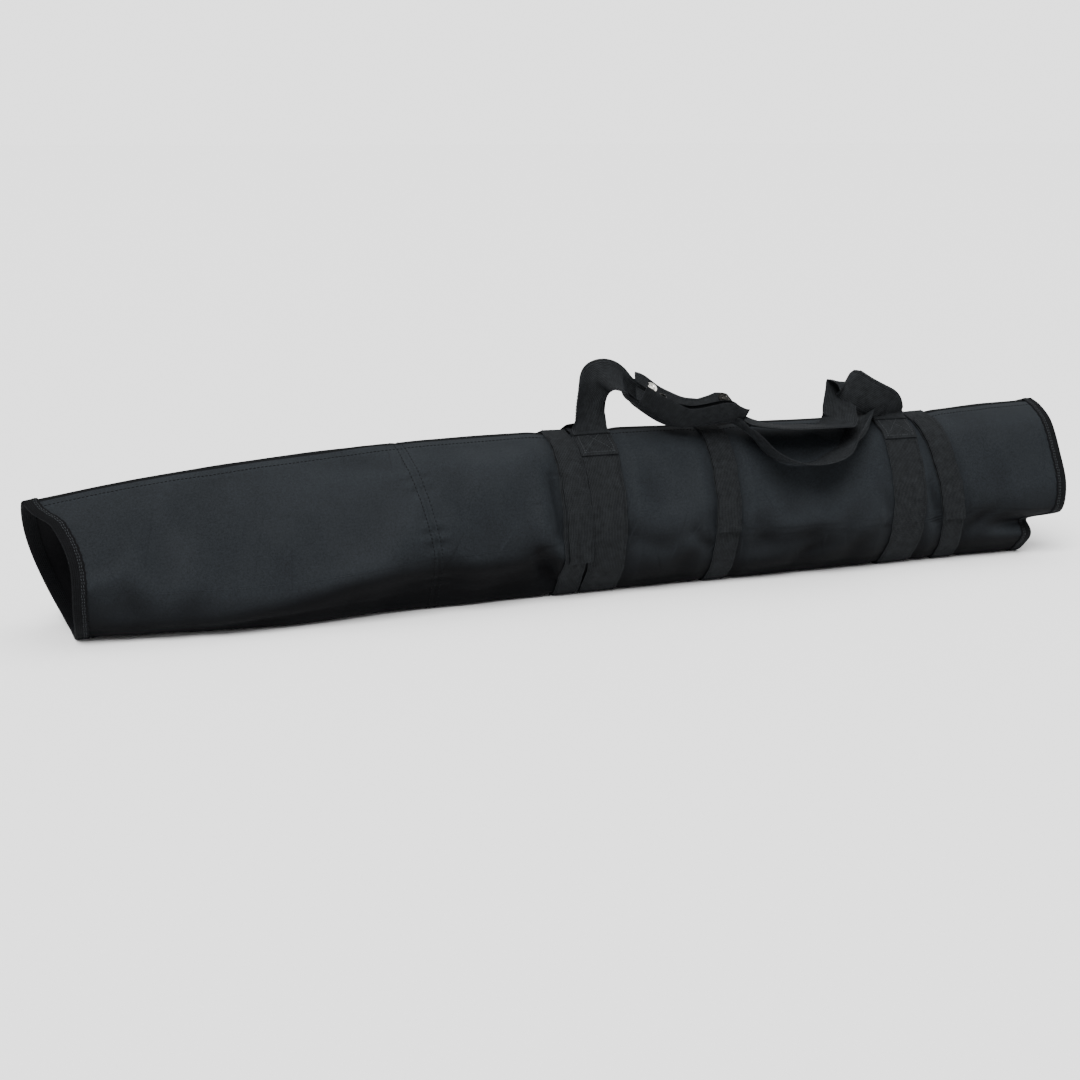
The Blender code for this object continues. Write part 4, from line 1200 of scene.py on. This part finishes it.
def split_handle(name, mid, normal, legs, cad_main, cad_legs):
    """The handle's free run rides on the handles; each end is a piece of its own, on no body.

    Legs gives, for each end, its share of the rows and where its bend starts and ends; where the
    bend starts and ends is not used.
    """
    rows = len(mid)
    a, b = int(legs[0][0] * rows), int(legs[1][0] * rows)
    main = strap_piece(name, mid[a:rows - b], normal[a:rows - b], "handles")
    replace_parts(main, cad_main)
    declare_strap(mid[a:rows - b])
    parts = [(slice(0, a + 1), legs[0], "left"), (slice(rows - b - 1, rows), legs[1], "right")]
    for piece, (_, start, end), side in parts:
        leg = strap_piece(f"{name}_{side}_leg", mid[piece], normal[piece], None)
        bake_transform(leg)
        if side in cad_legs:
            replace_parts(leg, cad_legs[side])
        declare_strap(mid[piece])
    for face, turn in (("", 1), ("_back", -1)):
        edge_stitches(f"{name}{face}_stitching", mid[a:rows - b], turn * normal[a:rows - b],
                      "handles", WIDE_EDGE)


def on_foot(x, drop, rear=False, lift=0.0):
    """A point in millimetres on top of a handle's foot, this far down from the ridge."""
    q = q_at_drop(x, drop * MM)
    q = RING - q if rear else q
    p = skin(x, q, FOOT_LIFT + WEB_T + lift * MM)[0] / MM
    return tuple(float(v) for v in p)


folded = tuple(-BACK_OUT)


def front_handle():
    """Stands up from the left band, lies in the wrap, and runs on to the right band."""
    rows = [
        # centre, across, chord share, bow
        (on_foot(BAND_LEFT, 17), (1, 0.0, 0), 1.0, 0.0),
        (on_foot(BAND_LEFT, 11, lift=0.3), (1, 0.0, 0), 1.0, 0.0),
        ((LX + 0.5, -11.5, RIDGE_MM + 9), (0.99, 0.06, 0), 0.88, 0.7),
        ((LX - 1, -15, RIDGE_MM + 24), (0.97, 0.14, -0.05), 0.76, 1.0),
        ((LX + 1, -18, RIDGE_MM + 38), (0.92, -0.12, -0.2), 0.78, 1.0),
        ((LX + 6, -19, RIDGE_MM + 49), (0.64, -0.58, -0.45), 0.9, 0.9),
        ((LX + 17, -19, RIDGE_MM + 52.5), (0.25, -0.68, -0.68), 0.93, 0.5),
        ((LX + 32, -19, RIDGE_MM + 47), (0.08, -0.7, -0.7), 0.88, 0.5),
        (in_wrap(-0.10, 6.8), folded, 0.72, 1.0),
        (in_wrap(0.15, 6.2), folded, 0.53, 1.0),
        (in_wrap(0.5, 6.0), folded, 0.53, 1.0),
        (in_wrap(0.9, 6.2), folded, 0.53, 1.0),
        ((LX + 158, -36, RIDGE_MM + 4), (0, -0.95, -0.2), 0.88, 0.5),
        ((LX + 190, -41, RIDGE_MM - 3.5), (0, -1, 0.0), 0.99, 0.0),
        ((LX + 222, -42, RIDGE_MM - 5), (0.05, -1, 0.02), 1.0, 0.0),
        ((LX + 245, -41, RIDGE_MM - 6), (0.25, -0.95, 0.05), 0.98, 0.1),
        ((LX + 261, -34, RIDGE_MM - 2), (0.75, -0.62, -0.2), 0.96, 0.2),
        ((LX + 267, -24, RIDGE_MM + 7), (0.93, -0.25, -0.25), 0.97, 0.2),
        ((LX + 273, -14, RIDGE_MM + 19), (0.95, 0.0, -0.3), 0.98, 0.1),
        ((LX + 277, -9, RIDGE_MM + 28), (0.96, 0.0, -0.15), 0.98, 0.0),
        ((LX + 279.5, -11.5, RIDGE_MM + 32.5), (0.943, 0.0, 0.334), 0.98, 0.0),
        ((LX + 284, -15.5, RIDGE_MM + 29), (0.72, 0.0, 0.69), 0.98, 0.0),
        ((LX + 297, -18, RIDGE_MM + 20.5), (0.58, 0.0, 0.81), 0.98, 0.2),
        ((LX + 312, -17, RIDGE_MM + 13), (0.74, 0.0, 0.67), 0.97, 0.4),
        ((RX - 4.5, -13.5, RIDGE_MM + 5.5), (0.94, 0.0, 0.34), 0.98, 0.3),
        (on_foot(BAND_RIGHT, 10, lift=0.3), (1, 0.0, 0), 1.0, 0.0),
        (on_foot(BAND_RIGHT, 17), (1, 0.0, 0), 1.0, 0.0),
    ]
    mid, n = strap_lattice(rows, WIDE, 620, 21)
    split_handle("front_handle_webbing", mid, n,
                 ((0.045, (LX, 0, RIDGE_MM + 4), (LX, 0, RIDGE_MM + 22)),
                  (0.045, (RX, 0, RIDGE_MM), (RX, 0, RIDGE_MM + 16))),
                 "front_handle", {})


def rear_handle():
    """Follows the front handle into the wrap, then slumps down the front and back up."""
    rows = [
        # centre, across, chord share, bow
        (on_foot(BAND_LEFT, 17, rear=True), (1, 0, 0), 1.0, 0.0),
        (on_foot(BAND_LEFT, 10, rear=True, lift=0.3), (1, 0, 0), 1.0, 0.0),
        ((LX + 6, 3, RIDGE_MM + 6), (1, -0.02, 0), 0.76, 0.9),
        ((LX + 5, -4, RIDGE_MM + 26), (0.95, -0.1, -0.05), 0.74, 1.0),
        ((LX + 6, -8, RIDGE_MM + 41), (0.84, -0.4, -0.25), 0.8, 0.9),
        ((LX + 9, -10, RIDGE_MM + 51), (0.5, -0.68, -0.5), 0.93, 0.6),
        ((LX + 20, -11.5, RIDGE_MM + 54), (0.2, -0.7, -0.66), 0.92, 0.5),
        ((LX + 34, -14, RIDGE_MM + 48), (0.08, -0.7, -0.7), 0.85, 0.5),
        (in_wrap(0.0, 3.6), folded, 0.53, 1.0),
        (in_wrap(0.3, 3.2), folded, 0.53, 1.0),
        (in_wrap(0.6, 3.2), folded, 0.53, 1.0),
        (in_wrap(0.95, 3.2), folded, 0.53, 1.0),
        ((LX + 158, -41, RIDGE_MM - 4.5), (0, -0.93, -0.3), 0.85, 0.5),
        ((LX + 174, -57, RIDGE_MM - 26), (0, -1, 0.08), 0.96, 0.0),
        ((LX + 196, -66, RIDGE_MM - 36), (0, -1, 0.14), 1.0, 0.0),
        ((LX + 222, -68, RIDGE_MM - 37), (0.02, -1, 0.14), 1.0, 0.0),
        ((LX + 244, -64, RIDGE_MM - 30), (0.15, -1, 0.1), 0.97, 0.2),
        ((LX + 261, -55, RIDGE_MM - 18), (0.0, -0.97, 0.24), 0.82, 0.7),
        ((LX + 277, -40, RIDGE_MM - 6), (0.35, -0.92, 0.18), 0.64, 1.0),
        ((LX + 292, -21, RIDGE_MM + 3.5), (0.82, -0.56, 0.05), 0.72, 0.9),
        ((LX + 304, 0, RIDGE_MM + 3.8), (0.96, -0.2, 0), 1.0, 0.0),
        ((RX - 14, 8, RIDGE_MM + 1.5), (0.97, -0.15, 0), 1.0, 0.0),
        (on_foot(BAND_RIGHT, 15, rear=True, lift=0.2), (1, 0, 0), 1.0, 0.0),
        (on_foot(BAND_RIGHT, 22, rear=True), (1, 0, 0), 1.0, 0.0),
    ]
    mid, n = strap_lattice(rows, WIDE, 600, 21)
    split_handle("rear_handle_webbing", mid, n,
                 ((0.062, (LX, 0, RIDGE_MM + 5), (LX, 0, RIDGE_MM + 22)),
                  (0.155, (RX, 6, 0), (RX, -22, 0))),
                 "rear_handle", {"left": "rear_leg_left", "right": "rear_leg_right"})


front_handle()
rear_handle()

# ---- Hand wrap and snaps ---------------------------------------------------------------------
WRAP_T = 1.7 * MM
# Shares of the keel, and the leaf's height there in millimetres.
BACK_HEIGHTS = ((-0.04, 0.15, 0.4, 0.62, 0.80, 0.92, 1.0), (41, 39.5, 35, 31, 37.5, 35, 23))
FLAP_HEIGHTS = ((0.0, 0.3, 0.6, 0.85, 1.0), (25, 23, 24, 26, 22))


def wrap_leaf(name, out, inward, heights, body, cad, phase):
    """One leaf of the hand wrap: padded webbing standing out from the keel line."""
    rows, cols = 130, 34
    t = np.linspace(-0.04, 1.03, rows)[:, None]
    s = np.linspace(0, 1, cols)[None, :]
    tall = np.interp(t, heights[0], heights[1])
    base = KEEL_A + (KEEL_B - KEEL_A) * t[..., None]
    base = base - np.array([0.0, 0.0, 1.0]) * leaf_sag(t, s)[..., None]
    tuck_in = 3.0 * np.exp(-s * tall / 4.0)
    ripple = (1.6 * np.sin(6.5 * t + phase) + 0.9 * np.sin(14 * t + 2 * phase)) * s ** 1.4
    lip = 0.6 * np.sin(22 * t + phase) * s
    mid = (base + out * (1.2 + s * tall + lip)[..., None]
           + inward * (ripple + tuck_in * 0.5 - 0.8)[..., None]) * MM
    n = frame_normals(mid)
    if (n * inward).sum() < 0:
        n = -n
    obj = strap_piece(name, mid, n, body, WRAP_T)
    if body is None:
        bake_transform(obj)
    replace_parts(obj, cad)
    return mid, n


def wrap():
    """The back leaf stands with the handles; the front one is on no body."""
    mid, n = wrap_leaf("hand_wrap_back_leaf", BACK_OUT, BACK_IN, BACK_HEIGHTS, "handles",
                       "hand_wrap_back", 0.8)
    edge_stitches("hand_wrap_back_stitching", mid, n, "handles", 3.0 * MM, 0.3 * MM)
    wrap_leaf("hand_wrap_front_leaf", FLAP_OUT, FLAP_IN, FLAP_HEIGHTS, None, "hand_wrap_flap",
              2.1)


wrap()


# A snap's section from its centre to its rim and back, as (radius, height) in millimetres: a
# raised ring, a dished face and a rolled rim.
SNAP_SECTION = [(0.0, 1.0), (1.9, 1.0), (2.3, 1.5), (2.9, 1.9), (3.5, 1.5), (3.8, 0.9),
                (4.9, 0.8), (5.5, 1.2), (6.0, 1.15), (6.2, 0.6), (6.0, 0.1), (0.0, 0.0)]
SNAP_TURNS = 40
SNAP_ALONG = {"left": 0.12, "right": 0.88}


def snap(half, side, mat):
    """A socket on the back leaf or a stud on the front one."""
    cad = f"snap_{half}_{side}"
    normal, body = (BACK_IN, "handles") if half == "socket" else (FLAP_IN, "wrap_flap")
    low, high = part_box(cad)
    centre = (low + high) / 2 - Vector((0, 0, leaf_sag(SNAP_ALONG[side], 0.8) * MM))
    verts, faces = [], []
    for r, z in SNAP_SECTION:
        for k in range(SNAP_TURNS):
            a = 2 * math.pi * k / SNAP_TURNS
            verts.append((r * math.cos(a) * MM, r * math.sin(a) * MM, z * MM))
    for i in range(len(SNAP_SECTION) - 1):
        inner, outer = i * SNAP_TURNS, (i + 1) * SNAP_TURNS
        for k in range(SNAP_TURNS):
            j = (k + 1) % SNAP_TURNS
            faces.append((inner + k, outer + k, outer + j, inner + j))
    mesh = bpy.data.meshes.new("nickel_" + cad)
    mesh.from_pydata(verts, [], faces)
    turn = Vector((0, 0, 1)).rotation_difference(Vector(normal)).to_matrix().to_4x4()
    turn.translation = centre - Vector(normal) * 0.9 * MM
    mesh.transform(turn)
    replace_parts(new_piece("nickel_" + cad, mesh, mat, body), cad)


# Only the left socket is bright nickel; the other three get the nearly black copy, painted shade.
for half in ("socket", "stud"):
    for side in ("left", "right"):
        snap(half, side, NICKEL if (half, side) == ("socket", "left") else SHADED_NICKEL)

# ---- Stitching on the shell ------------------------------------------------------------------
SHELL_STITCH_LIFT = 0.12 * MM


def shell_stitching():
    """One row along the front hem and two beside the join on each side."""
    t = np.linspace(0, 1, 1400)
    hem_x = LEFT_END + BINDING_W + (LENGTH - 2 * BINDING_W) * t
    hem = skin(hem_x, np.full_like(t, HEM_FRONT + 0.55), SHELL_STITCH_LIFT)[0]
    stitch_rows("front_hem_stitching", [hem], "case", pitch=3.6 * MM, long=2.5 * MM,
                thick=0.75 * MM, thread=DARK_THREAD)
    q = np.linspace(HEM_FRONT + 0.1, HALF, 500)
    lines = []
    for away in (-4.2 * MM, 3.6 * MM):
        for side in (1, -1):
            qq = q if side > 0 else RING - q
            lines.append(skin(join_x(qq) + away, qq, SHELL_STITCH_LIFT)[0])
    stitch_rows("panel_join_stitching", lines, "case", pitch=3.8 * MM, long=2.6 * MM,
                thick=0.8 * MM, thread=DARK_THREAD)


shell_stitching()
